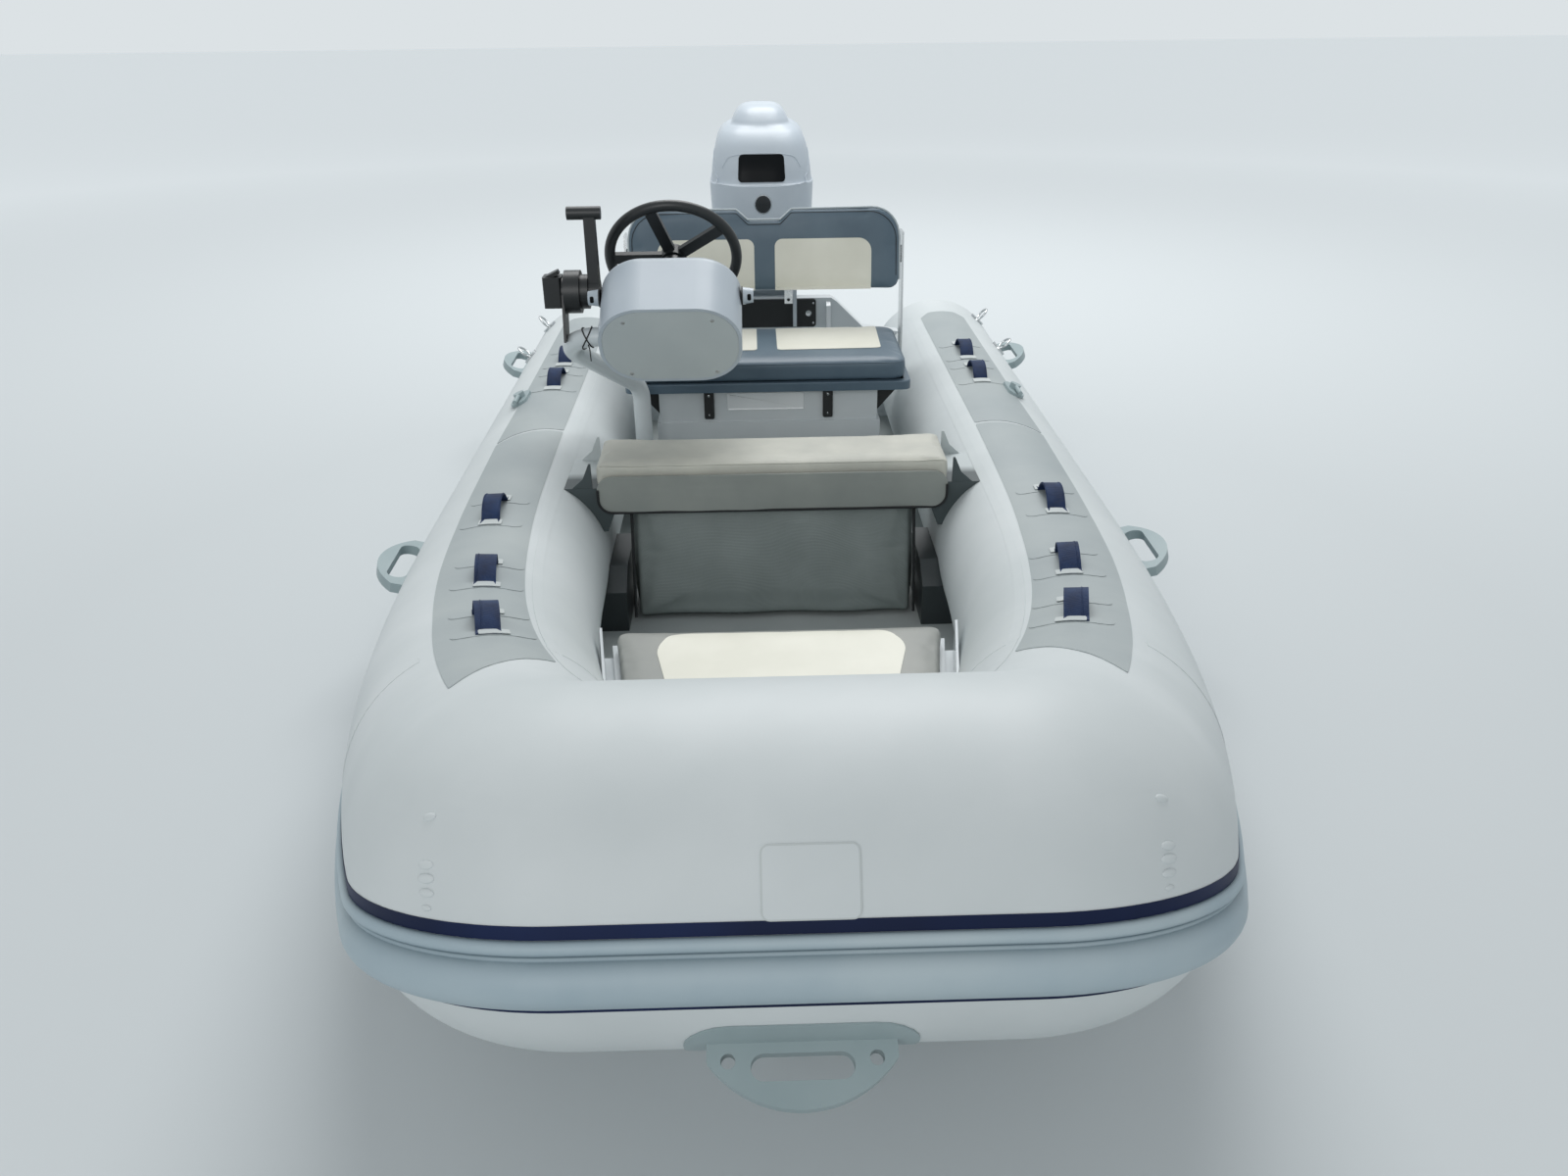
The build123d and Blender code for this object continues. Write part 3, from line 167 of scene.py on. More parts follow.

# %% [markdown]
# ## Rubber, webbing and canvas
#
# The strake is extruded rubber, dull and even apart from painted shade in its groove. Straps
# are woven polyester, dyed navy: a rough surface whose threads show in relief. The stripes
# are vinyl tape with a soft gloss.
# The canvas covers are coated, so a soft gloss lies over a weave that shows close up.

# %% Rubber, webbing and canvas
# Extruded rubber: broad dull highlights, and painted shade that darkens the groove, where
# little sky reaches
tree, shader, where = new_finish("extruded_rubber_pale", "A3B4BC", 0.5)
unshaded_rubber = cloud_colour(tree, shader, where, ("9FB1BA", "AEBDC3"), 180)
open_sky = add_node(tree, "ShaderNodeAmbientOcclusion", {"Distance": 30 * MM}, samples=8)
painted_groove_shade = add_node(tree, "ShaderNodeMapRange", {"From Min": 0.45, "From Max": 0.95},
                 {"Value": open_sky.outputs["AO"]})
# Painted shade: the colour goes to a dark 5F737D where the AO node finds the groove closed in
mixed = add_node(tree, "ShaderNodeMix", {6: colour("5F737D")}, {0: painted_groove_shade.outputs["Result"], 7: unshaded_rubber},
                 data_type="RGBA")
tree.links.new(mixed.outputs[2], shader.inputs["Base Color"])
relief(tree, shader, grain(tree, where, 3), 0.05)

# Woven webbing: nearly matt, with threads that catch the light close up
tree, shader, where = new_finish("woven_webbing_navy", "14284B", 0.6, {"IOR": 1.35})
cloud_colour(tree, shader, where, ("0F2242", "1B335A"), 30)
relief(tree, shader, weave(tree, where, 1.6), 0.25)

# Calendered vinyl tape: a flat deep blue that hardly mirrors the sky
tree, shader, where = new_finish("vinyl_tape_navy", "08183A", 0.5, {"Specular IOR Level": 0.2})
cloud_colour(tree, shader, where, ("061535", "0B1D44"), 200)

# Woven canvas, coated: a soft sheen over the weave, and patches faded by the sun. The
# threads are drawn coarser than real ones, so that they show
# The first is a lighter copy of the same canvas for the thwart's top: painted light from the sky above
for cloth_name, shades in (("woven_canvas_painted_light", ("B6B7AE", "CACABF")),
                           ("woven_canvas_taupe", ("828884", "8E938E")),
                           ("woven_canvas_dark", ("727B79", "7E8785"))):
    tree, shader, where = new_finish(cloth_name, shades[0], 0.55, {"Coat Weight": 0.25,
                                                                  "Coat Roughness": 0.4})
    cloud_colour(tree, shader, where, shades, 120)
    relief(tree, shader, weave(tree, where, 1.8), 0.2)

# Woven binding tape: matt black edges
tree, shader, where = new_finish("woven_tape_black", "15181A", 0.8)
relief(tree, shader, weave(tree, where, 1.5), 0.15)

# %% [markdown]
# ## Marine vinyl
#
# The cushions are covered in marine vinyl, a soft plastic sheet embossed like leather. The
# emboss is a pattern of small cells, which a Voronoi texture makes. It gives a satin gloss
# whose highlights break up along the folds. The cells are drawn coarser than real ones.

# %% Marine vinyl
for vinyl_name, shades in (("marine_vinyl_slate", ("4F6270", "5B6E7B")),
                           ("marine_vinyl_cream", ("E2E1D3", "EBEADD")),
                           ("marine_vinyl_grey", ("8F928E", "9A9C97")),
                           ("marine_vinyl_piping", ("A9B4B8", "B6C0C3"))):
    tree, shader, where = new_finish(vinyl_name, shades[0], 0.42, {"IOR": 1.5})
    cloud_colour(tree, shader, where, shades, 140)
    cells = add_node(tree, "ShaderNodeTexVoronoi", {"Scale": 1000 / 2.2}, {"Vector": where},
                     feature="DISTANCE_TO_EDGE")
    relief(tree, shader, cells.outputs["Distance"], 0.12)

# %% [markdown]
# ## Mouldings, paint and metal
#
# Gelcoat and lacquer are glossy and clear-coated, and moulded plastic is satin with a fine
# grain. Stainless steel keeps the default IOR and is nearly white in colour. A table holds
# what sets one finish apart from the next, and its comments say what each gives the eye.

# %% Mouldings, paint and metal
# Columns: name, two shades, roughness, coat, grain in mm, its depth in mm
for name, shades, gloss, coat, size, depth in (
        # Moulded gelcoat: a deep gloss with clear highlights
        ("gelcoat_white", ("C9D0D3", "D2D8DA"), 0.28, 0.5, 60, 0.05),
        # Gelcoat over grit: matt and rough underfoot, its grain drawn coarser than grit
        ("gelcoat_nonskid_grey", ("9FA6A6", "ACB2B1"), 0.55, 0.0, 3.5, 0.4),
        # Moulded plastic: satin, with broad soft highlights
        ("moulded_plastic_white", ("AFBAC3", "B8C2CA"), 0.38, 0.1, 40, 0.03),
        ("moulded_plastic_pale_blue", ("92A3A6", "A0AFB1"), 0.42, 0.0, 1.6, 0.06),
        ("moulded_plastic_black", ("111416", "1B1F21"), 0.38, 0.0, 1.2, 0.05),
        # Pressed laminate: flat and smooth, a little glossy
        ("laminate_grey", ("B4BDBF", "BDC5C6"), 0.36, 0.2, 60, 0.02),
        # Powder coat on tube: bright lines of light with a fine ripple
        ("powder_coat_white", ("C9D1D4", "D3DADC"), 0.33, 0.2, 1.5, 0.03),
        # Moulded panel: dark, with a faint waviness in its highlights
        ("moulded_panel_black", ("1F2527", "2A3133"), 0.4, 0.1, 25, 0.06),
        # Moulded rubber: dull black
        ("rubber_black", ("131516", "1D2021"), 0.6, 0.0, 2.0, 0.05),
        # Sprayed lacquer: cool white with smooth, soft highlights
        ("engine_lacquer_white", ("BCC7D1", "C6D0D8"), 0.42, 0.15, 90, 0.02),
        # Paint on castings: glossy over the grain of the mould
        ("engine_bracket_paint_white", ("B5BEC4", "C0C8CE"), 0.4, 0.3, 2.5, 0.05),
        # Cast aluminium, dulled by oxide: rough and grey, without a mirror
        ("cast_aluminium_grey", ("6A6E70", "7A7E80"), 0.55, 0.0, 2.0, 0.15),
        # Gloss paint: black with sharp highlights
        ("propeller_paint_black", ("17191B", "202325"), 0.3, 0.4, 30, 0.03),
        # Smoked acrylic sheet: a black opening that mirrors little
        ("acrylic_smoked_black", ("020508", "04080C"), 0.3, 0.0, 80, 0.01),
        # Polished acrylic: the glossiest white on the boat
        ("acrylic_polished_white", ("DDE2E4", "E8ECED"), 0.15, 0.5, 30, 0.01)):
    tree, shader, where = new_finish(name, shades[0], gloss, {"Coat Weight": coat,
                                                              "Coat Roughness": 0.08})
    cloud_colour(tree, shader, where, shades, 220)
    relief(tree, shader, grain(tree, where, size), depth)
    if name == "acrylic_smoked_black":
        shader.inputs["Specular IOR Level"].default_value = 0.12

# Polished stainless steel: mirrors the surroundings, duller where hands have worn it
tree, shader, where = new_finish("stainless_steel_polished", "C4C7C8", 0.22, {"Metallic": 1.0})
scuffs = add_node(tree, "ShaderNodeTexNoise", {"Scale": 1000 / 6, "Detail": 5.0}, {"Vector": where})
dull = add_node(tree, "ShaderNodeMapRange", {"To Min": 0.14, "To Max": 0.34},
                {"Value": scuffs.outputs["Fac"]})
tree.links.new(dull.outputs["Result"], shader.inputs["Roughness"])

# The thwart's moulded board: dark in front, partly a dark gusset and partly painted shade of the gap at
# the cushion's ends, and as pale as the chambers behind
tree, shader, where = new_finish("moulded_board_dark_and_shaded_front", "454F51", 0.45)
spot = add_node(tree, "ShaderNodeSeparateXYZ", links={"Vector": where})
aft = add_node(tree, "ShaderNodeMapRange", {"From Min": -30 * MM, "From Max": 10 * MM},
               {"Value": spot.outputs["Y"]})
shades = add_node(tree, "ShaderNodeValToRGB", links={"Fac": aft.outputs["Result"]})
# Dark front colour: partly a dark gusset, partly painted shade
shades.color_ramp.elements[0].color = colour("3E484A")
shades.color_ramp.elements[1].color = colour("B7BFC0")
tree.links.new(shades.outputs["Color"], shader.inputs["Base Color"])
relief(tree, shader, grain(tree, where, 25), 0.06)
print(len(finishes), "finishes")

# %% [markdown]
# ## Finishes for the CAD pieces
#
# The record lists each node with a material slot. One table says which finish stands for
# each slot, and the loop gives it to every node of that slot.

# %% Dress the CAD nodes
slot_finish = {
    "white_chamber_fabric": "coated_fabric_white", "white_gelcoat": "gelcoat_white",
    "deck_panel": "gelcoat_nonskid_grey", "strake_rubber": "extruded_rubber_pale",
    "navy_webbing": "woven_webbing_navy", "grey_moulding": "moulded_plastic_pale_blue",
    "stainless": "stainless_steel_polished", "slate_vinyl": "marine_vinyl_slate",
    "grey_vinyl": "marine_vinyl_grey", "grey_canvas": "woven_canvas_taupe",
    "dark_panel": "moulded_panel_black", "black_rubber": "rubber_black",
    "white_moulding": "moulded_plastic_white", "grey_panel": "laminate_grey",
    "white_paint": "powder_coat_white", "black_plastic": "moulded_plastic_black",
    "engine_bracket_paint": "engine_bracket_paint_white", "engine_paint": "engine_lacquer_white",
    "cast_block": "cast_aluminium_grey", "propeller_alloy": "propeller_paint_black",
}
for part in frame["record"]["subparts"]:
    node = frame["nodes"][part["node"]]
    node.data.materials.clear()
    node.data.materials.append(finishes[slot_finish[part["material_slot"]]])
frame["nodes"]["nav_lights"].data.materials[0] = finishes["moulded_plastic_white"]
# The board's dark front is partly painted shade of the gap beside the cushion
frame["nodes"]["thwart"].data.materials[0] = finishes["moulded_board_dark_and_shaded_front"]
print(len(frame["nodes"]), "CAD nodes dressed")

# %% [markdown]
# ## Camera
#
# The picture is taken from above the bow, looking down at the boat. The lens and the angles
# come from straight lines and known sizes in the photograph.

# %% Camera
eye = Vector((-0.035, -2.63, 1.40))
yaw, pitch, roll = radians(1.31), radians(27.0), radians(-0.65)
focal_px, frame_px = 1213.4, 1600
camera_data = bpy.data.cameras.new("camera")
camera_data.sensor_width = 36
camera_data.lens = focal_px / frame_px * camera_data.sensor_width
camera_data.clip_start, camera_data.clip_end = 0.05, 60
camera = bpy.data.objects.new("camera", camera_data)
camera.matrix_world = (Matrix.Translation(eye) @ Matrix.Rotation(-yaw, 4, "Z")
                       @ Matrix.Rotation(pi / 2 - pitch, 4, "X") @ Matrix.Rotation(roll, 4, "Z"))
bpy.context.scene.collection.objects.link(camera)
bpy.context.scene.camera = camera
bpy.context.scene.view_settings.view_transform = "Standard"
print("camera with a", round(camera_data.lens, 1), "mm lens")

# %% [markdown]
# ## Floor and light
#
# The floor lies at the waterline. A pale world and two large soft lamps light the boat
# evenly, as an overcast sky did. Far from the boat the floor glows a little for the camera
# and in reflections, like the sweep of a studio, so that it meets the pale backdrop without
# a dark band. More light would do that too, but it would bleach the boat.

# %% Floor


def seen_ray(tree):
    """1 for what the camera sees, directly, in a gloss or through glass, and 0 for light."""
    path = add_node(tree, "ShaderNodeLightPath")
    straight = add_node(tree, "ShaderNodeMath", operation="MAXIMUM",
                        links={0: path.outputs["Is Camera Ray"], 1: path.outputs["Is Glossy Ray"]})
    return add_node(tree, "ShaderNodeMath", operation="MAXIMUM",
                    links={0: straight.outputs[0], 1: path.outputs["Is Transmission Ray"]}).outputs[0]


backdrop_colour = "DCE2E5"
floor_mesh = bpy.data.meshes.new("floor")
floor_shape = bmesh.new()
bmesh.ops.create_grid(floor_shape, x_segments=1, y_segments=1, size=30)
floor_shape.to_mesh(floor_mesh)
floor_shape.free()
tree, shader, where = new_finish("studio_floor", "CDD3D5", 0.8)
reach = add_node(tree, "ShaderNodeVectorMath", links={0: where}, operation="LENGTH")
glow = add_node(tree, "ShaderNodeMapRange", {"From Min": 1.8, "From Max": 9.0, "To Max": 0.5},
                {"Value": reach.outputs["Value"]})
seen = add_node(tree, "ShaderNodeMath", links={0: glow.outputs["Result"], 1: seen_ray(tree)},
                operation="MULTIPLY")
shader.inputs["Emission Color"].default_value = colour(backdrop_colour)
tree.links.new(seen.outputs[0], shader.inputs["Emission Strength"])
floor_mesh.materials.append(finishes["studio_floor"])
floor = bpy.data.objects.new("floor", floor_mesh)
bpy.context.scene.collection.objects.link(floor)
print("floor at the waterline")

# %% Light
world = bpy.data.worlds.new("studio")
bpy.context.scene.world = world
world.use_nodes = True
tree = world.node_tree
ambient = tree.nodes["Background"]
ambient.inputs["Color"].default_value = colour("EEF2F5")
ambient.inputs["Strength"].default_value = 0.5
backdrop = add_node(tree, "ShaderNodeBackground", {"Color": colour(backdrop_colour), "Strength": 1.0})
shown = add_node(tree, "ShaderNodeMixShader",
                 links={0: seen_ray(tree), 1: ambient.outputs[0], 2: backdrop.outputs[0]})
tree.links.new(shown.outputs[0], tree.nodes["World Output"].inputs["Surface"])

# Columns: name, place, size, power in watts
for lamp_name, place, size, power in (("lamp_over_stern", (0.4, 3.2, 5.2), 4.5, 245),
                                      ("lamp_over_bow", (-1.8, -7.0, 3.6), 4.0, 120)):
    lamp_data = bpy.data.lights.new(lamp_name, "AREA")
    lamp_data.shape, lamp_data.size, lamp_data.energy = "DISK", size, power
    lamp = bpy.data.objects.new(lamp_name, lamp_data)
    lamp.visible_camera = False
    lamp.location = place
    lamp.rotation_euler = (Vector((0, 0, 0.3)) - Vector(place)).to_track_quat("-Z", "Y").to_euler()
    bpy.context.scene.collection.objects.link(lamp)
    print(lamp_name, power, "W")

# %% [markdown]
# ## Helpers for pieces
#
# A small shape is made lying on the XY plane, where it is easy to think about, then turned
# to its place by a matrix and joined to the piece. A piece sits at the origin, like a CAD
# node, rides on a body and takes one of the finishes.

# %% Piece helpers


def riding(name, mesh, finish, body):
    """A piece of this mesh, with its finish, that rides on a body."""
    mesh.name = name
    mesh.materials.append(finishes[finish])
    piece = bpy.data.objects.new(name, mesh)
    bpy.context.scene.collection.objects.link(piece)
    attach(piece, body)
    print(name, "rides on", body, "with", len(mesh.polygons), "faces of", finish)
    return piece


def new_piece(name, shape, finish, body="boat", sharp=38):
    """Turns a bmesh into a piece whose edges look sharp from this angle on, in degrees."""
    mesh = bpy.data.meshes.new(name)
    shape.to_mesh(mesh)
    shape.free()
    mesh.shade_smooth()
    mesh.set_sharp_from_angle(angle=radians(sharp))
    return riding(name, mesh, finish, body)


def join(shape, other, matrix=None):
    """Adds another shape to this one, placed by a matrix."""
    if matrix is not None:
        bmesh.ops.transform(other, matrix=matrix, verts=other.verts)
    mesh = bpy.data.meshes.new("joined")
    other.to_mesh(mesh)
    other.free()
    shape.from_mesh(mesh)
    bpy.data.meshes.remove(mesh)


# %% [markdown]
# ## Simple solids
#
# Plates, posts and screws start as one flat face. Pulling it up makes a closed slab, and a
# bevel round its top catches the light as a real edge does. A cube or cylinder would do
# too, but a flat outline can have any shape and its corners are rounded before it is thick.

# %% Simple solids


def thicken(shape, thickness):
    """Pulls a flat face up into a slab whose bottom stays at z = 0."""
    lifted = bmesh.ops.extrude_face_region(shape, geom=shape.faces[:], use_keep_orig=True)
    top = [v for v in lifted["geom"] if isinstance(v, bmesh.types.BMVert)]
    bmesh.ops.translate(shape, vec=(0, 0, thickness), verts=top)
    bmesh.ops.recalc_face_normals(shape, faces=shape.faces)


def soften_top(shape, edge, segments=2):
    """Bevels the edges round the top of a slab."""
    high = max(v.co.z for v in shape.verts)
    rim = [e for e in shape.edges if all(v.co.z > high - 1e-6 for v in e.verts)]
    bmesh.ops.bevel(shape, geom=rim, offset=edge, segments=segments, profile=0.5, affect="EDGES",
                    material=-1)


def slab(width, length, thickness, corner, edge=0.0, segments=6):
    """A slab with rounded corners on the XY plane, its middle over the origin."""
    shape = bmesh.new()
    bmesh.ops.create_grid(shape, x_segments=1, y_segments=1, size=0.5)
    bmesh.ops.scale(shape, vec=(width, length, 1), verts=shape.verts)
    bmesh.ops.bevel(shape, geom=shape.verts[:], offset=corner, segments=segments, profile=0.5,
                    affect="VERTICES", material=-1)
    thicken(shape, thickness)
    if edge:
        soften_top(shape, edge)
    return shape


def round_post(radius, length, edge=0.0, sides=24):
    """A round post that stands on the XY plane."""
    shape = bmesh.new()
    bmesh.ops.create_circle(shape, cap_ends=True, segments=sides, radius=radius)
    thicken(shape, length)
    if edge:
        soften_top(shape, edge)
    return shape


def dish_top(shape, rim, depth):
    """Sinks the top face of a slab or post inside a rim."""
    top = max(shape.faces, key=lambda face: face.calc_center_median().z * 10 + face.calc_area())
    bmesh.ops.inset_individual(shape, faces=[top], thickness=rim)
    bmesh.ops.translate(shape, vec=(0, 0, -depth), verts=top.verts)


# %% [markdown]
# ## Outlines and rings
#
# Frames, skirts and hoods have rounded outlines. Arcs written as a formula keep them exact,
# and bridging one ring of points to the next makes the wall between them.

# %% Outlines and rings


def rounded_corner(centre, radius, start, end, count=8):
    """Points of an arc, from one angle to another, in degrees."""
    steps = [radians(start + (end - start) * number / count) for number in range(count + 1)]
    return [(centre[0] + radius * cos(a), centre[1] + radius * sin(a)) for a in steps]


def round_frame(width, length, corner, count=8):
    """Points round a rectangle with rounded corners, its middle over the origin."""
    x, y = width / 2 - corner, length / 2 - corner
    points = []
    for centre, start in (((x, y), 0), ((-x, y), 90), ((-x, -y), 180), ((x, -y), 270)):
        points += rounded_corner(centre, corner, start, start + 90, count)
    return points


def bridged_rings(outlines, closed=False):
    """A wall through rings of points, each bridged to the next, and the edges of each ring."""
    shape = bmesh.new()
    loops = []
    for outline in outlines:
        ring = [shape.verts.new(point) for point in outline]
        loops.append([shape.edges.new(pair) for pair in zip(ring, ring[1:] + ring[:1])])
    for loop, over in zip(loops, loops[1:] + loops[:1] if closed else loops[1:]):
        bmesh.ops.bridge_loops(shape, edges=loop + over)
    bmesh.ops.recalc_face_normals(shape, faces=shape.faces)
    return shape, loops


def with_mirror(port):
    """Points of the port half, then those of the starboard half, back to where they start."""
    return port + [(-x, *rest) for x, *rest in reversed(port)]


# %% [markdown]
# ## Mirroring and placing
#
# Most of the boat is the same on both sides, so a piece is made to port and mirrored. A
# fitting is placed by a matrix whose Z axis stands on the wall that carries it.

# %% Mirroring and placing


def mirror_over(shape):
    """Adds the starboard half. A mirror turns faces inside out, so they are set right."""
    bmesh.ops.mirror(shape, geom=shape.verts[:] + shape.edges[:] + shape.faces[:], axis="X",
                     merge_dist=1e-5)
    bmesh.ops.recalc_face_normals(shape, faces=shape.faces)


def facing(place, normal, along):
    """Matrix with local Z on a normal and local X as near as can be to a direction."""
    z_axis = Vector(normal).normalized()
    y_axis = z_axis.cross(Vector(along)).normalized()
    x_axis = y_axis.cross(z_axis)
    matrix = Matrix((x_axis, y_axis, z_axis)).transposed().to_4x4()
    matrix.translation = place
    return matrix


def on_front(place):
    """Matrix that stands a fitting on a wall that faces the bow."""
    return facing(place, (0, -1, 0), (1, 0, 0))


def screw(head):
    """A pan head screw with a cross slot, standing on the XY plane."""
    shape = round_post(head, head * 0.5, head * 0.3, 16)
    for turn in (0, pi / 2):
        slot = slab(head * 1.2, head * 0.24, head * 0.06, head * 0.05)
        join(shape, slot, Matrix.Translation((0, 0, head * 0.5)) @ Matrix.Rotation(turn, 4, "Z"))
    return shape


# %% [markdown]
# ## The line that the chambers follow
#
# Stripes, patches and fittings lie on the chambers. A place there is given by the distance
# along the chamber's centre line from where it starts to bend, and by how far it leans
# outboard from straight up. One function turns that into a point of the boat.

# %% Chamber line
tube_r = 210 * MM
tube_x, tube_z = 595 * MM, 195 * MM
bend_start_y, cone_y = -130 * MM, 1520 * MM
bow_x, bow_y, bow_z = 300 * MM, -1525 * MM, 484 * MM
corner_cut = 55 * MM

ahead = Vector((0, -1, 0))
chamber_start = Vector((tube_x, bend_start_y, tube_z))
drawn_in, rise, run = tube_x - bow_x, bow_z - tube_z, bend_start_y - bow_y
across = hypot(drawn_in, rise)
toward = Vector((-drawn_in / across, 0, rise / across))
tangent = (across ** 2 + run ** 2 - corner_cut ** 2) / (2 * (run + corner_cut))
bend_angle = atan2(across, run - tangent)
bend_r = tangent / tan(bend_angle / 2)
bend_centre = chamber_start + toward * bend_r
bend_axis = ahead.cross(toward)
bend_length = bend_r * bend_angle


def on_chamber(along, lean, radius, side=1):
    """Point over the port chamber, or the starboard one with side -1. Lean in radians."""
    point = chamber_start + Vector((sin(lean), 0, cos(lean))) * radius
    if along <= 0:
        point += ahead * along
    else:
        turn = Quaternion(bend_axis, along / bend_r)
        point = bend_centre + turn @ (point - bend_centre)
    return Vector((point.x * side, point.y, point.z))


def along_at(y):
    """Distance along the centre line at this y."""
    if y > bend_start_y:
        return bend_start_y - y
    return bend_r * asin((bend_start_y - y) / bend_r)


def chamber_seat(y, lean, radius=tube_r):
    """Matrix that stands a fitting on the port chamber, its X axis toward the bow."""
    along, tilt = along_at(y), radians(lean)
    place = on_chamber(along, tilt, radius)
    normal = place - on_chamber(along, 0, 0)
    return facing(place, normal, on_chamber(along + MM, tilt, radius) - place)


print("bend radius", round(bend_r, 3), "length", round(bend_length, 3))

# %% [markdown]
# ## Sheets glued to a chamber
#
# A patch is cut flat, so it starts as one flat face with rounded corners. Cuts across it
# let it bend, a second layer gives it its thickness, and each point is then laid on the
# chamber. This keeps the cut line crisp and the outline easy to read.

# %% Sheets on a chamber


def cut_across(shape, step):
    """Cuts a flat shape into small cells, so that it can bend."""
    for axis in (0, 1):
        values = [v.co[axis] for v in shape.verts]
        count = int((max(values) - min(values)) / step) + 1
        normal = [0, 0, 0]
        normal[axis] = 1
        for number in range(1, count):
            middle = [0, 0, 0]
            middle[axis] = min(values) + (max(values) - min(values)) * number / count
            bmesh.ops.bisect_plane(shape, geom=shape.verts[:] + shape.edges[:] + shape.faces[:],
                                   plane_co=middle, plane_no=normal)


def flat_cut(outline, corner=0.0, segments=5):
    """A flat face with this outline of x and y, and with rounded corners."""
    shape = bmesh.new()
    shape.faces.new([shape.verts.new((x, y, 0)) for x, y in outline])
    if corner:
        bmesh.ops.bevel(shape, geom=shape.verts[:], offset=corner, segments=segments,
                        profile=0.5, affect="VERTICES", material=-1)
    bmesh.ops.triangulate(shape, faces=shape.faces[:])
    return shape


def glued_sheet(outline, thickness, corner, lift=0.2 * MM, step=22 * MM):
    """A sheet on the port chamber. Its outline is in distance along and degrees of lean."""
    shape = flat_cut([(along, radians(lean) * tube_r) for along, lean in outline], corner)
    cut_across(shape, step)
    bmesh.ops.triangulate(shape, faces=shape.faces[:])
    thicken(shape, thickness)
    for v in shape.verts:
        v.co = on_chamber(v.co.x, v.co.y / tube_r, tube_r + lift + v.co.z)
    bmesh.ops.recalc_face_normals(shape, faces=shape.faces)
    return shape


def box_outline(along, lean, length, width):
    """Corners of a rectangle on the chamber, round its middle."""
    half, tilt = length / 2, degrees(width / 2 / tube_r)
    return [(along - half, lean - tilt), (along + half, lean - tilt),
            (along + half, lean + tilt), (along - half, lean + tilt)]


# %% [markdown]
# ## Grey patches on the crown of the chambers
#
# Each side chamber has a long grey patch forward and another aft, with a narrow white gap
# between them that curves across the chamber. The forward patch ends in a point outboard.

# %% Grey patches
# Columns: distance along in mm, lean in degrees
fore_patch = [(-370, -20), (-100, -21), (360, -23.5), (760, -24.5), (1140, -26), (1205, -26),
              (1235, -12), (1290, 4), (1352, 18), (1200, 17.5), (850, 17.5), (530, 19.4),
              (250, 20), (-290, 23), (-318, 12), (-342, 0), (-360, -12)]
aft_patch = [(-382, -20), (-372, -12), (-354, 0), (-330, 12), (-302, 23), (-700, 21),
             (-1440, 20), (-1480, 12), (-1480, -12), (-1440, -20), (-900, -20)]
patches = bmesh.new()
for rows in (fore_patch, aft_patch):
    outline = [(along * MM, lean) for along, lean in rows]
    join(patches, glued_sheet(outline, thickness=1 * MM, corner=6 * MM))
mirror_over(patches)
new_piece("chamber_patches", patches, "coated_fabric_grey")

# %% [markdown]
# ## Strap seats
#
# Both ends of each carrying strap are held by a patch with rounded ears, and by a small
# cover over the end of the webbing. Each is a sheet laid on the chamber, as the patches are.

# %% Strap seats
# Columns: y of the strap in mm, lean in degrees
strap_places = [(870, 0), (643, 0), (-310, 0), (-722, -6), (-1057, -7)]
strap_reach = 74 * MM  # from the middle of a strap to the middle of the patch at its end
ear_length, ear_width, cover_length, cover_width = 44 * MM, 128 * MM, 30 * MM, 46 * MM
ears, covers = bmesh.new(), bmesh.new()
for y, lean in strap_places:
    for end in (-1, 1):
        along = along_at(y * MM) + end * strap_reach
        ear = box_outline(along, lean, ear_length, ear_width)
        cover = box_outline(along + end * 4 * MM, lean, cover_length, cover_width)
        join(ears, glued_sheet(ear, 0.8 * MM, corner=21 * MM, lift=1.3 * MM, step=10 * MM))
        join(covers, glued_sheet(cover, 1.2 * MM, corner=3 * MM, lift=3.4 * MM, step=12 * MM))
for name, shape, finish in (("strap_ears", ears, "coated_fabric_grey"),
                            ("strap_covers", covers, "coated_fabric_pale")):
    mirror_over(shape)
    new_piece(name, shape, finish)

# %% [markdown]
# ## Navy stripes along the strake
#
# A broad stripe runs just above the rub strake and a narrow one just below it, from the
# stern round the bow. A stripe is a thin strip: its end is drawn at the stern, pulled along
# the straight chamber, spun round the bend and round the corner, and pulled across the bow.

# %% Stripes
bow_dir = Quaternion(bend_axis, bend_angle) @ ahead
bend_end = on_chamber(bend_length, 0, 0)
inboard = Vector((-1, 0, 0))
corner_in = (inboard - bow_dir * bow_dir.dot(inboard)).normalized()
corner_turn = bow_dir.angle(inboard)
corner_r = corner_cut / tan(corner_turn / 2)
corner_centre = bend_end + corner_in * corner_r
corner_axis = bow_dir.cross(inboard).normalized()
front_start = bend_end + bow_dir * corner_cut + inboard * corner_cut


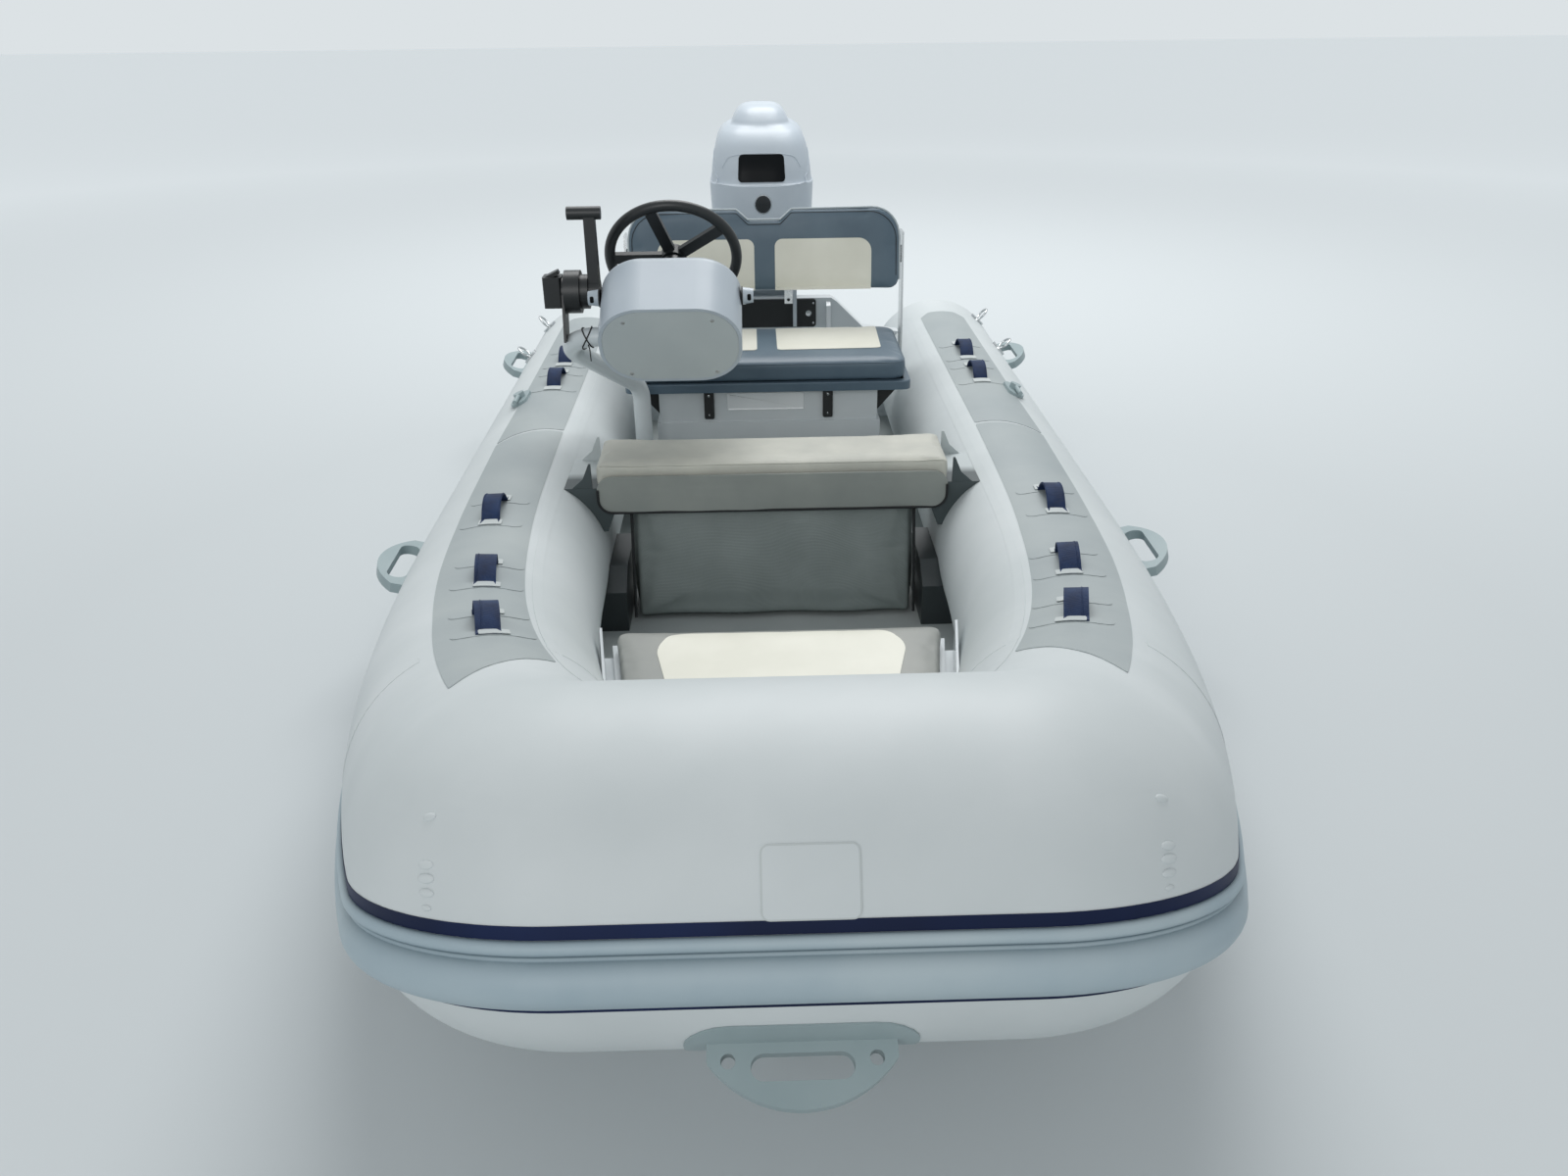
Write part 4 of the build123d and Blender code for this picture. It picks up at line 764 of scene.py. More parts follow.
def swept_strip(low_angle, high_angle, inner, outer):
    """A strip round the whole boat between two angles above the level of the centre line."""
    shape = bmesh.new()
    ends = []
    for angle, radius in ((low_angle, inner), (low_angle, outer), (high_angle, outer),
                          (high_angle, inner)):
        lean = radians(90 - angle)
        spot = chamber_start + Vector((sin(lean), 0, cos(lean))) * radius
        ends.append(shape.verts.new((spot.x, cone_y, spot.z)))
    shape.faces.new(ends)
    edges = shape.edges[:]

    def pulled(vector):
        moved = bmesh.ops.extrude_edge_only(shape, edges=edges)["geom"]
        bmesh.ops.translate(shape, vec=vector, verts=[g for g in moved
                                                      if isinstance(g, bmesh.types.BMVert)])
        return [g for g in moved if isinstance(g, bmesh.types.BMEdge)]

    def spun(centre, axis, angle, steps):
        made = bmesh.ops.spin(shape, geom=edges, cent=centre, axis=axis, angle=angle, steps=steps,
                              dvec=(0, 0, 0))["geom_last"]
        return [g for g in made if isinstance(g, bmesh.types.BMEdge)]

    edges = pulled((0, bend_start_y - cone_y, 0))
    edges = spun(bend_centre, bend_axis, bend_angle, 44)
    edges = spun(corner_centre, corner_axis, corner_turn, 18)
    edges = pulled((-front_start.x, 0, 0))
    mirror_over(shape)
    return shape


stripes = bmesh.new()
stripe_in, stripe_out = tube_r + 0.2 * MM, tube_r + 0.8 * MM
for low_angle, high_angle in ((-0.8, 3.2), (-25.6, -23.2)):
    join(stripes, swept_strip(low_angle, high_angle, stripe_in, stripe_out))
new_piece("strake_stripes", stripes, "vinyl_tape_navy")

# %% [markdown]
# ## Plate and handle seat on the bow
#
# The bow chamber runs straight across the boat, so its sheets are laid on a plain
# cylinder. A bare plate with a fine raised rim sits on its front, and an oval patch holds
# the lifting handle.

# %% Bow plate


def on_bow(x, drop, radius):
    """Point over the bow chamber. Drop is how far round from the top to the front."""
    return Vector((x, bow_y - sin(drop) * radius, bow_z + cos(drop) * radius))


def bow_sheet(outline, thickness, corner, lift, segments=5):
    """A sheet on the bow chamber. Its outline is in x and degrees of drop."""
    shape = flat_cut([(x, radians(drop) * tube_r) for x, drop in outline], corner, segments)
    cut_across(shape, 10 * MM)
    thicken(shape, thickness)
    for v in shape.verts:
        v.co = on_bow(v.co.x, v.co.y / tube_r, tube_r + lift + v.co.z)
    bmesh.ops.recalc_face_normals(shape, faces=shape.faces)
    return shape


plate_x, plate_half = 10 * MM, 51 * MM
plate_high, plate_low = 47.3, 68.2  # degrees of drop
rim_in = 2 * MM


def plate_outline(inset):
    """Corners of the plate, drawn in on all sides, in x and degrees of drop."""
    half, turn = plate_half - inset, degrees(inset / tube_r)
    return [(plate_x - half, plate_high + turn), (plate_x + half, plate_high + turn),
            (plate_x + half, plate_low - turn), (plate_x - half, plate_low - turn)]


seat_outline = [(-128 * MM, 106), (128 * MM, 106), (128 * MM, 138), (-128 * MM, 138)]
for name, shape, finish, slot in (
        ("bow_plate_rim", bow_sheet(plate_outline(0), 1.0 * MM, 9 * MM, 0.2 * MM),
         "coated_fabric_pale", "white_chamber_fabric"),
        ("bow_plate", bow_sheet(plate_outline(rim_in), 0.7 * MM, 7 * MM, 1.0 * MM),
         "coated_fabric_white", "white_chamber_fabric"),
        ("bow_handle_seat", bow_sheet(seat_outline, 2.0 * MM, 50 * MM, 0.2 * MM),
         "moulded_plastic_pale_blue", "grey_moulding")):
    new_piece(name, shape, finish)

# %% [markdown]
# ## Cushions
#
# A cushion starts as a closed block a little smaller than its CAD solid. It is remeshed
# into small even cells and blown up as cloth, so that its faces crown and its edges stay
# soft. Bevels alone would give it flat faces. A cap on how far each point may move keeps it
# in its place.

# %% Cushion helper
cloth_frames = 20


def swell(piece, cell_mm, cap_mm, pressure=4.0):
    """Blows a closed shape up as cloth, moving no point further than the cap."""
    remesh = piece.modifiers.new("even_cells", "REMESH")
    remesh.mode, remesh.voxel_size = "VOXEL", cell_mm * MM
    bake_mesh(piece)
    before = [v.co.copy() for v in piece.data.vertices]
    cloth = piece.modifiers.new("swell", "CLOTH")
    cloth.settings.use_pressure = True
    cloth.settings.uniform_pressure_force = pressure
    cloth.settings.quality = 5
    cloth.settings.effector_weights.gravity = 0
    scene = bpy.context.scene
    for number in range(1, cloth_frames + 1):
        scene.frame_set(number)
    bake_mesh(piece)
    scene.frame_set(1)
    for v, start in zip(piece.data.vertices, before):
        move = v.co - start
        if move.length > cap_mm * MM:
            v.co = start + move.normalized() * cap_mm * MM


def bake_mesh(piece):
    """Makes the result of the modifiers the piece's own mesh."""
    graph = bpy.context.evaluated_depsgraph_get()
    made = bpy.data.meshes.new_from_object(piece.evaluated_get(graph))
    piece.modifiers.clear()
    made.name = piece.name
    piece.data = made


def pad_block(outline, corner, thickness, edge):
    """A closed block with this outline, its upper edges rounded."""
    shape = flat_cut(outline, corner)
    thicken(shape, thickness)
    bmesh.ops.dissolve_limit(shape, angle_limit=radians(1), verts=shape.verts, edges=shape.edges)
    soften_top(shape, edge, 3)
    bmesh.ops.triangulate(shape, faces=shape.faces[:])
    return shape


def padded_piece(name, shape, finish, body, node, cap_mm=6, cell_mm=7.0,
                 pressure=4.0):
    """A cushion that stands for a CAD solid."""
    piece = new_piece(name, shape, finish, body, sharp=180)
    swell(piece, cell_mm, cap_mm, pressure)
    piece.data.shade_smooth()
    smooth = piece.modifiers.new("rounded", "SUBSURF")
    smooth.levels = smooth.render_levels = 1
    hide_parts(node)
    return piece


# %% [markdown]
# ## Panels and cords on a surface
#
# Panels, piping, seams and body lines lie on curved pieces. A panel is cut flat and dropped
# on its cushion by rays, which keeps its outline crisp. A line is drawn near its piece, each
# point is moved to the nearest place on the surface, and a round cord follows the points.

# %% Panels and cords


def surface_of(piece):
    """The piece as it shows, ready for looking up its nearest surface."""
    return BVHTree.FromObject(piece, bpy.context.evaluated_depsgraph_get())


def laid_on(piece, outline, matrix, thickness, corner, lift=0.4 * MM, step=9 * MM):
    """A thin panel sewn on a cushion: cut flat, then dropped on it along its matrix's -Z."""
    surface = surface_of(piece)
    shape = flat_cut(outline, corner, 8)
    cut_across(shape, step)
    bmesh.ops.triangulate(shape, faces=shape.faces[:])
    thicken(shape, thickness)
    down = (matrix.to_3x3() @ Vector((0, 0, -1))).normalized()
    for v in shape.verts:
        level = v.co.z
        start = matrix @ Vector((v.co.x, v.co.y, 0.1))
        hit = surface.ray_cast(start, down)[0]
        v.co = (hit if hit else start + down * 0.1) - down * (lift + level)
    bmesh.ops.recalc_face_normals(shape, faces=shape.faces)
    return shape


def piping(name, points, radius, finish, body="boat", closed=False):
    """A round cord sewn along a seam, as a mesh tube along its points."""
    line = bpy.data.curves.new(name, "CURVE")
    line.dimensions, line.bevel_depth, line.bevel_resolution = "3D", radius, 2
    line.use_fill_caps = True
    spline = line.splines.new("POLY")
    spline.points.add(len(points) - 1)
    for point, place in zip(spline.points, points):
        point.co = (*place, 1)
    spline.use_cyclic_u = closed
    guide = bpy.data.objects.new(name + "_line", line)
    bpy.context.scene.collection.objects.link(guide)
    mesh = bpy.data.meshes.new_from_object(guide)
    bpy.data.objects.remove(guide)
    mesh.shade_smooth()
    return riding(name, mesh, finish, body)


def line_on(name, piece, points, radius, finish, body="boat", closed=False, out=0.3):
    """A cord along a surface, standing out by this share of its radius."""
    surface = surface_of(piece)
    placed = []
    for point in points:
        spot, normal = surface.find_nearest(Vector(point))[:2]
        placed.append(spot + normal * radius * out)
    return piping(name, placed, radius, finish, body, closed)


# %% [markdown]
# ## Seat cushion
#
# Slate vinyl over firm foam, with two cream panels set into its top. A vinyl skirt goes down
# over the edge of the lid. It is a wall bridged through rings that follow the lid's outline.

# %% Seat cushion
low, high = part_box("seat_cushion")
middle, size = (low + high) / 2, high - low
pad_in = 5 * MM
block = slab(size.x - 2 * pad_in, size.y - 2 * pad_in, size.z - 2 * pad_in, corner=34 * MM,
             edge=12 * MM)
bmesh.ops.translate(block, vec=(middle.x, middle.y, low.z + pad_in), verts=block.verts)
seat_pad = padded_piece("seat_pad", block, "marine_vinyl_slate", "seat_lid",
                        "seat_cushion")

lid_low, lid_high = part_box("seat_lid")
lid_size, lid_middle = lid_high - lid_low, (lid_low + lid_high) / 2
lid_corner = 20
rings = []
# Columns in mm: out from the lid's side, further out in front, height over the lid's top
for out, before, z in ((0.4, 0, -21), (3.5, 7, -21), (4, 7, -12), (4, 7, 1), (2.5, 6, 3), (-14, 0, 3),
                       (-14, 0, 0.6), (0.4, 0, 0.6)):
    outline = round_frame(lid_size.x + 2 * out * MM, lid_size.y + (2 * out + before) * MM,
                          (lid_corner + out) * MM, 6)
    rings.append([(lid_middle.x + x, lid_middle.y + y - before * MM / 2, lid_high.z + z * MM)
                  for x, y in outline])
skirt = bridged_rings(rings, closed=True)[0]
new_piece("seat_skirt", skirt, "marine_vinyl_slate", "seat_lid")

panel_t = 1.2 * MM
seat_panels = bmesh.new()
top_view = Matrix.Translation((0, 0, high.z))
# Port panel, x and y in mm
for side in (-1, 1):
    outline = [(side * x * MM, y * MM) for x, y in ((28, 600), (316, 606), (322, 842), (28, 842))]
    join(seat_panels, laid_on(seat_pad, outline, top_view, panel_t, 14 * MM))
new_piece("seat_panels", seat_panels, "marine_vinyl_cream", "seat_lid")

# %% [markdown]
# ## Backrest
#
# The backrest leans aft, so its outline is drawn on its own plane: across the boat and up
# along the cushion. Its top edge has a dip in the middle, and its upper corners are round.

# %% Backrest
rest_lean = radians(8)
rest_y, rest_z = 888 * MM, 593 * MM
rest_half, rest_h, rest_t = 405 * MM, 236 * MM, 55 * MM
dip_half, dip, dip_slope, dip_ease = 70 * MM, 32 * MM, 24 * MM, 8 * MM
foot_drop = 11 * MM
rest_out = Vector((0, -cos(rest_lean), sin(rest_lean)))
rest_view = facing((0, rest_y, rest_z), rest_out, (1, 0, 0))


def rest_outline(inset):
    """Outline of the backrest, drawn in on all sides but a little longer at its foot."""
    half, top, corner, foot = rest_half - inset, rest_h - inset, 88 * MM, 30 * MM
    low_edge = inset - foot_drop
    port = [(dip_half - dip_slope, top - dip), (dip_half + dip_ease, top)]
    port += rounded_corner((half - corner, top - corner), corner, 90, 0)
    port += rounded_corner((half - foot, low_edge + foot), foot, 0, -90)
    return with_mirror(port)


block = pad_block(rest_outline(pad_in), 0, rest_t - 2 * pad_in, edge=11 * MM)
bmesh.ops.transform(block, matrix=rest_view @ Matrix.Translation((0, 0, pad_in - rest_t)),
                    verts=block.verts)
backrest_pad = padded_piece("backrest_pad", block, "marine_vinyl_slate", "boat",
                            "backrest")

rest_panels = bmesh.new()
# Port panel in mm on the backrest's plane: its foot, then its two round corners
for side in (-1, 1):
    outline = [(30, -1), (312, -1)] + rounded_corner((274, 106), 38, 0, 90)
    outline = [(side * x * MM, y * MM) for x, y in outline + rounded_corner((52, 122), 22, 90, 180)]
    join(rest_panels, laid_on(backrest_pad, outline, rest_view, panel_t, 0))
new_piece("backrest_panels", rest_panels, "marine_vinyl_cream")

# %% [markdown]
# ## Bow cushion
#
# Grey vinyl on the locker lid, with one cream panel that narrows toward the bow. Its outline
# follows the lid, so the rows come from the lid's box.

# %% Bow cushion
low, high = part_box("bow_cushion")
lid_low, lid_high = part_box("locker_lid")
knee_y = -830 * MM
half_aft, half_knee, half_fore = 322 * MM, 293 * MM, 190 * MM
bow_rows = [(half_aft - pad_in, lid_high.y - pad_in), (half_knee - pad_in, knee_y),
            (half_fore - pad_in, lid_low.y + pad_in)]
block = pad_block(with_mirror(bow_rows), 22 * MM, high.z - low.z - 2 * pad_in, edge=8 * MM)
bmesh.ops.translate(block, vec=(0, 0, low.z + pad_in), verts=block.verts)
bow_pad = padded_piece("bow_pad", block, "marine_vinyl_grey", "locker_lid",
                       "bow_cushion")

outline = [(x * MM, y * MM) for x, y in ((-205, -652), (205, -655), (236, -712), (168, -1010),
                                         (-168, -1010), (-230, -712))]
bow_panel = laid_on(bow_pad, outline, Matrix.Translation((0, 0, high.z)), panel_t, 24 * MM)
new_piece("bow_panel", bow_panel, "marine_vinyl_cream", "locker_lid")

# %% [markdown]
# ## Thwart cushion and its flap
#
# Canvas over foam, with a flap that hangs in front, bound with black tape. The flap is a
# thin sheet whose lower part stands off a little in waves, as stiff canvas does.

# %% Thwart cushion
low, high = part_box("thwart_cushion")
pad_bottom = 370.6 * MM
block = slab(high.x - low.x - 5 * MM, high.y - low.y - 2 * pad_in - 6 * MM,
             high.z - pad_bottom - 2 * pad_in, 12 * MM, 8 * MM)
bmesh.ops.translate(block, vec=(0, (low.y + high.y) / 2 + 3 * MM, pad_bottom + pad_in),
                    verts=block.verts)
# The top is in the lighter copy of the canvas: painted light from above
thwart_pad = padded_piece("thwart_pad", block, "woven_canvas_painted_light", "boat",
                          "thwart_cushion", cap_mm=7)

flap_half, flap_top, flap_foot, flap_t = 402 * MM, 402 * MM, 316 * MM, 7 * MM
flap_wave = 7 * MM
flap = flat_cut([(-flap_half, flap_foot), (flap_half, flap_foot), (flap_half, flap_top),
                 (-flap_half, flap_top)], 34 * MM, 6)
cut_across(flap, 14 * MM)
thicken(flap, flap_t)
bmesh.ops.transform(flap, matrix=on_front((0, low.y + 9 * MM, 0)), verts=flap.verts)
for v in flap.verts:
    share = (flap_top - v.co.z) / (flap_top - flap_foot)
    v.co.y -= flap_wave * share * (0.5 + noise(Vector((v.co.x * 9, 0, v.co.z * 7))))
new_piece("thwart_flap", flap, "woven_canvas_taupe", sharp=60)
edge_x, edge_y, edge_r = flap_half - 2 * MM, low.y - 3 * MM, 32 * MM
flap_edge = [(edge_x, flap_top - 30 * MM)]
flap_edge += rounded_corner((edge_x - edge_r, flap_foot + edge_r), edge_r, 0, -90)
piping("thwart_flap_binding", with_mirror([(x, edge_y, z) for x, z in flap_edge]), 3 * MM,
       "woven_tape_black")

# %% [markdown]
# ## Bag under the thwart
#
# A flat canvas bag hangs under the board, and its front leans forward. It is a cushion of
# little pressure whose front is drawn in and out by noise, which gives long soft folds.

# %% Thwart bag
low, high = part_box("thwart_bag")
front_top, bag_in, bag_fold = -76 * MM, 6 * MM, 9 * MM
bag = bmesh.new()
bmesh.ops.create_cube(bag, size=1)
for v in bag.verts:
    z = high.z - 1 * MM if v.co.z > 0 else low.z + 2 * MM
    front = front_top + bag_in if v.co.z > 0 else low.y + bag_in
    v.co = (v.co.x * 2 * (high.x - bag_in), front if v.co.y < 0 else high.y - bag_in, z)
bmesh.ops.bevel(bag, geom=bag.edges[:], offset=12 * MM, segments=3, profile=0.5, affect="EDGES",
                material=-1)
bag = padded_piece("thwart_bag_cover", bag, "woven_canvas_dark", "boat", "thwart_bag",
                   cell_mm=8.0, pressure=3.0)
for v in bag.data.vertices:
    share = (high.z - v.co.z) / (high.z - low.z)
    if v.co.y < 0:
        fold = noise(Vector((v.co.x * 7 + v.co.z * 2.5, 0.3, v.co.z * 1.5)))
        v.co.y += bag_fold * fold * min(1, 4 * share)
bag_edge = high.x - 4 * MM
for name, side in (("bag_edge_starboard", -1), ("bag_edge_port", 1)):
    line = [(side * bag_edge, front_top - 1 * MM, high.z - 6 * MM),
            (side * bag_edge, low.y + 3 * MM, low.z + 10 * MM)]
    piping(name, line, 3.5 * MM, "woven_tape_black")
line = [(x, front_top - 2 * MM, high.z - 12 * MM) for x in (-bag_edge, bag_edge)]
piping("bag_top_binding", line, 4 * MM, "woven_tape_black")

# %% [markdown]
# ## Seams and piping of the cushions
#
# A pale cord closes the back edge of the backrest, and a seam follows its front edge. The
# seat cushion has a seam round its top.

# %% Cushion seams


def rest_top(inset, depth):
    """The line round the backrest's top and sides, drawn in, and at this depth."""
    outline = rest_outline(inset)
    return [rest_view @ Vector((x, y, -depth)) for x, y in outline[28:] + outline[:12]]


line_on("backrest_piping", backrest_pad, rest_top(4 * MM, 14 * MM), 3.2 * MM, "marine_vinyl_piping",
        out=0.6)
line_on("backrest_seam", backrest_pad, rest_top(17 * MM, 0), 1.3 * MM, "rubber_black")

low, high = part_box("seat_cushion")
middle, size, seam_in = (low + high) / 2, high - low, 7 * MM
seam = [(middle.x + x, middle.y + y, high.z - seam_in)
        for x, y in round_frame(size.x - 2 * seam_in, size.y - 2 * seam_in, 36 * MM)]
line_on("seat_seam", seat_pad, seam, 1.2 * MM, "marine_vinyl_slate", "seat_lid",
        closed=True, out=0.6)

low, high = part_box("thwart_cushion")
ends = [Vector((x, low.y + 14 * MM, high.z)) for x in (low.x + 16 * MM, high.x - 16 * MM)]
seam = [ends[0].lerp(ends[1], number / 40) for number in range(41)]
# The seam takes the same lighter copy of the canvas: painted light
line_on("thwart_seam", thwart_pad, seam, 1.5 * MM, "woven_canvas_painted_light", out=0.5)

# %% [markdown]
# ## Rolled edges of the straps
#
# The webbing has a rolled edge on both sides, which stands up as a fine line. A strap's
# surface curves two ways, so the line is found by rays sent down on it from over the chamber.

# %% Strap edges
straps = surface_of(frame["nodes"]["strap_handles"])
strap_half, strap_step = 17 * MM, 4.2 * MM
least_points = 8  # a strap that leans away gives too few for a line on one edge
for number, (y, lean) in enumerate(strap_places):
    seat = chamber_seat(y * MM, lean)
    for side, side_name in ((1, "port"), (-1, "starboard")):
        for edge, edge_name in ((strap_half, "out"), (-strap_half, "in")):
            line = []
            for step in range(-14, 15):
                top = seat @ Vector((step * strap_step, edge, 120 * MM))
                foot = seat @ Vector((step * strap_step, edge, -20 * MM))
                top.x, foot.x = top.x * side, foot.x * side
                hit = straps.ray_cast(top, (foot - top).normalized(), 135 * MM)[0]
                if hit:
                    line.append(hit)
            if len(line) > least_points:
                piping(f"strap_edge_{number}_{side_name}_{edge_name}", line, 1.1 * MM,
                       "woven_webbing_navy")

# %% [markdown]
# ## Seams of the chambers
#
# The chambers are cut from sheets that overlap, and a tape covers each joint. One tape runs
# along the inside of each chamber, and one goes round it where the bow chamber begins.

# %% Chamber seams
tape_t, tape_lift = 0.5 * MM, 0.1 * MM
inner_tape = [(-1480 * MM, -33.5), (1395 * MM, -33.5), (1395 * MM, -28), (-1480 * MM, -28)]
seams = glued_sheet(inner_tape, tape_t, 3 * MM, tape_lift, step=30 * MM)
joint, joint_half = bend_length - 350 * MM, 16 * MM
for start, end in ((-172, -27.5), (24, 60), (60, 172)):
    outline = [(joint - joint_half, start), (joint + joint_half, start),
               (joint + joint_half, end), (joint - joint_half, end)]
    join(seams, glued_sheet(outline, tape_t, 0, tape_lift, step=12 * MM))
mirror_over(seams)
new_piece("chamber_seams", seams, "coated_fabric_white")

# %% [markdown]
# ## Puckers
#
# Where the fabric turns the corner of the bow, the glued joint gathers it into small round
# puckers. A flattened sphere sunk halfway into the chamber looks the same as a pucker.

# %% Puckers
puckers = bmesh.new()
bow_surface = surface_of(frame["nodes"]["tube_bow"])
pucker_x, pucker_size = 402 * MM, (11 * MM, 5.5 * MM, 3.2 * MM)
# Columns: how far round to the front in degrees, size against the largest
for drop, share in ((35, 0.8), (51, 0.9), (55.5, 1), (60, 0.9), (64, 0.6)):
    bump = bmesh.new()
    bmesh.ops.create_uvsphere(bump, u_segments=28, v_segments=14, radius=share)
    bmesh.ops.scale(bump, vec=pucker_size, verts=bump.verts)
    spot, normal = bow_surface.find_nearest(on_bow(pucker_x, radians(drop), tube_r))[:2]
    join(puckers, bump, facing(spot, normal, (1, 0, 0)))
mirror_over(puckers)
new_piece("chamber_puckers", puckers, "coated_fabric_white", sharp=180)

# %% [markdown]
# ## Small parts of the seat box
#
# A bare raised plate sits between the two latches, each latch is held by two steel rivets,
# and a bolt head stands out on the port side. All are simple solids placed on the walls.

# %% Seat box details
plate_w, plate_h, plate_t = 211 * MM, 49 * MM, 4 * MM
plate_place = (-8 * MM, 520 * MM, 374 * MM)
plate = slab(plate_w, plate_h, plate_t, corner=4 * MM, edge=1 * MM)
dish_top(plate, rim=4 * MM, depth=plate_t / 2)
bmesh.ops.transform(plate, matrix=on_front(plate_place), verts=plate.verts)
new_piece("seat_box_plate", plate, "acrylic_polished_white")

low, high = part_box("seat_latches")
fittings = bmesh.new()
latch_half = 13.5 * MM
for x in (low.x + latch_half, high.x - latch_half):
    for z, rivet_r in ((high.z - 22 * MM, 3.6 * MM), (low.z + 12 * MM, 2.6 * MM)):
        join(fittings, round_post(rivet_r, 2 * MM, edge=0.8 * MM, sides=16), on_front((x, low.y, z)))
bolt_r, bolt_length, bolt_place = 7 * MM, 12 * MM, (300 * MM, 534 * MM, 404 * MM)
join(fittings, round_post(bolt_r, bolt_length, edge=2 * MM),
     facing(bolt_place, (1, 0, 0), (0, 1, 0)))
new_piece("seat_fittings", fittings, "stainless_steel_polished")

# %% [markdown]
# ## Small parts of the console
#
# Four screws hold the front plate. Each side light has a dark collar and a dark window, both
# placed from the box of the CAD piece, so that they follow it.

# %% Console details
pod_x, pod_y, pod_z = -228 * MM, 70 * MM, 655 * MM
pod_tilt = radians(30)
pod_w = 330 * MM
column = Vector((0, cos(pod_tilt), sin(pod_tilt)))
pod_view = facing((pod_x, pod_y, pod_z), -column, (1, 0, 0))
screws = bmesh.new()
# Columns: across and up on the plate in mm. Each slot is left turned its own way
for x, up in ((-102, 76), (99, 78), (-98, -88), (104, -86)):
    place = pod_view @ Matrix.Translation((x * MM, up * MM, -1 * MM))
    join(screws, screw(head=5 * MM), place @ Matrix.Rotation(x * 0.3, 4, "Z"))
new_piece("console_screws", screws, "stainless_steel_polished")

low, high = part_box("nav_lights")
collars, windows = bmesh.new(), bmesh.new()
collar_r, collar_t = 22 * MM, 3 * MM
window_w, window_h, window_t = 9 * MM, 15 * MM, 2.5 * MM
window_out, lamp_r = 18 * MM, 16.5 * MM
for side, wall_x in ((-1, pod_x - pod_w / 2), (1, pod_x + pod_w / 2)):
    centre = Vector((wall_x, (low.y + high.y) / 2, (low.z + high.z) / 2))
    join(collars, round_post(collar_r, collar_t, edge=1 * MM, sides=32),
         facing(centre, (side, 0, 0), (0, 1, 0)))
    window = slab(window_w, window_h, window_t, corner=3.5 * MM, edge=0.8 * MM)
    join(windows, window, on_front(centre + Vector((side * window_out, -lamp_r, 0))))
new_piece("nav_light_collars", collars, "rubber_black")
new_piece("nav_light_windows", windows, "acrylic_smoked_black")

# %% [markdown]
# ## Ties on the arm
#
# Two cable ties are crossed round the bend of the arm, with the cut end of one left long.
# Each is a flat ring round the arm, leant to one side and laid on its surface.

# %% Arm ties
elbow = Vector((-431 * MM, 165 * MM, 655 * MM))
tie_reach, tie_r = 23.5 * MM, 1.6 * MM
for number, turn in enumerate((-28, 28)):
    spin = Matrix.Rotation(radians(90 + turn), 4, "Y")
    wide = tie_reach / cos(radians(turn))
    ring = [elbow + spin @ Vector((wide * cos(a), tie_reach * sin(a), 0))
            for a in (radians(15 * step) for step in range(24))]
    line_on(f"arm_tie_{number}", frame["nodes"]["console_arm"], ring, tie_r, "rubber_black",
            closed=True, out=0.9)
tie_tail = [elbow + Vector(place) * MM for place in ((4, -23, -12), (7, -25, -24), (8, -25, -52))]
piping("arm_tie_tail", tie_tail, 1.4 * MM, "rubber_black")

# %% [markdown]
# ## Small parts of the transom pad
#
# Screws hold the pad's corners, and a round steel fitting sits near its port end.

# %% Transom pad details
low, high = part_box("transom_pad")
fittings = bmesh.new()
screw_in, screw_up = 9 * MM, 13 * MM
for x in (low.x + screw_in, high.x - screw_in):
    for z in (low.z + screw_up, high.z - screw_up):
        join(fittings, screw(head=3.6 * MM), on_front((x, low.y, z)))
ring_x, ring_r, ring_t = 147 * MM, 10 * MM, 4 * MM
ring = round_post(ring_r, ring_t, edge=1.2 * MM)
dish_top(ring, rim=4 * MM, depth=3 * MM)
join(fittings, ring, on_front((ring_x, low.y, (low.z + high.z) / 2)))
new_piece("transom_pad_fittings", fittings, "stainless_steel_polished")

# %% [markdown]
# ## Hood of the engine
#
# The hood is one smooth moulding. The CAD solid goes straight from one section to the next,
# so a skin of the same sizes stands for it: rounded sections on a smooth curve through the
# rows of a table, bridged ring to ring.

# %% Cowl skin
pan_top, cowl_y = 700.3 * MM, 1645 * MM
# Columns in mm: height over the pan, width, length, y of the middle after cowl_y, corner radius
cowl_rows = [(0, 332, 520, 0, 120), (60, 338, 517, 1.5, 121), (108, 342, 513, 3.5, 122),
             (114, 338, 508, 5, 121), (118, 333, 492, 8, 118), (170, 322, 470, 14, 116),
             (225, 300, 432, 22, 112), (258, 268, 384, 28, 104), (275, 226, 340, 32, 92),
             (284, 192, 322, 34, 86), (300, 176, 300, 37, 80), (320, 148, 262, 41, 68),
             (333, 108, 214, 45, 50), (337, 60, 150, 47, 28)]


def smooth_row(rows, place):
    """Row of sizes at a place along the table, on a smooth curve through its rows."""
    first = min(int(place), len(rows) - 2)
    before, start, end, after = (rows[max(0, min(len(rows) - 1, first + k))] for k in (-1, 0, 1, 2))
    t = place - first
    return [0.5 * (2 * b + (c - a) * t + (2 * a - 5 * b + 4 * c - d) * t ** 2
                   + (3 * b - a - 3 * c + d) * t ** 3) for a, b, c, d in zip(before, start, end, after)]


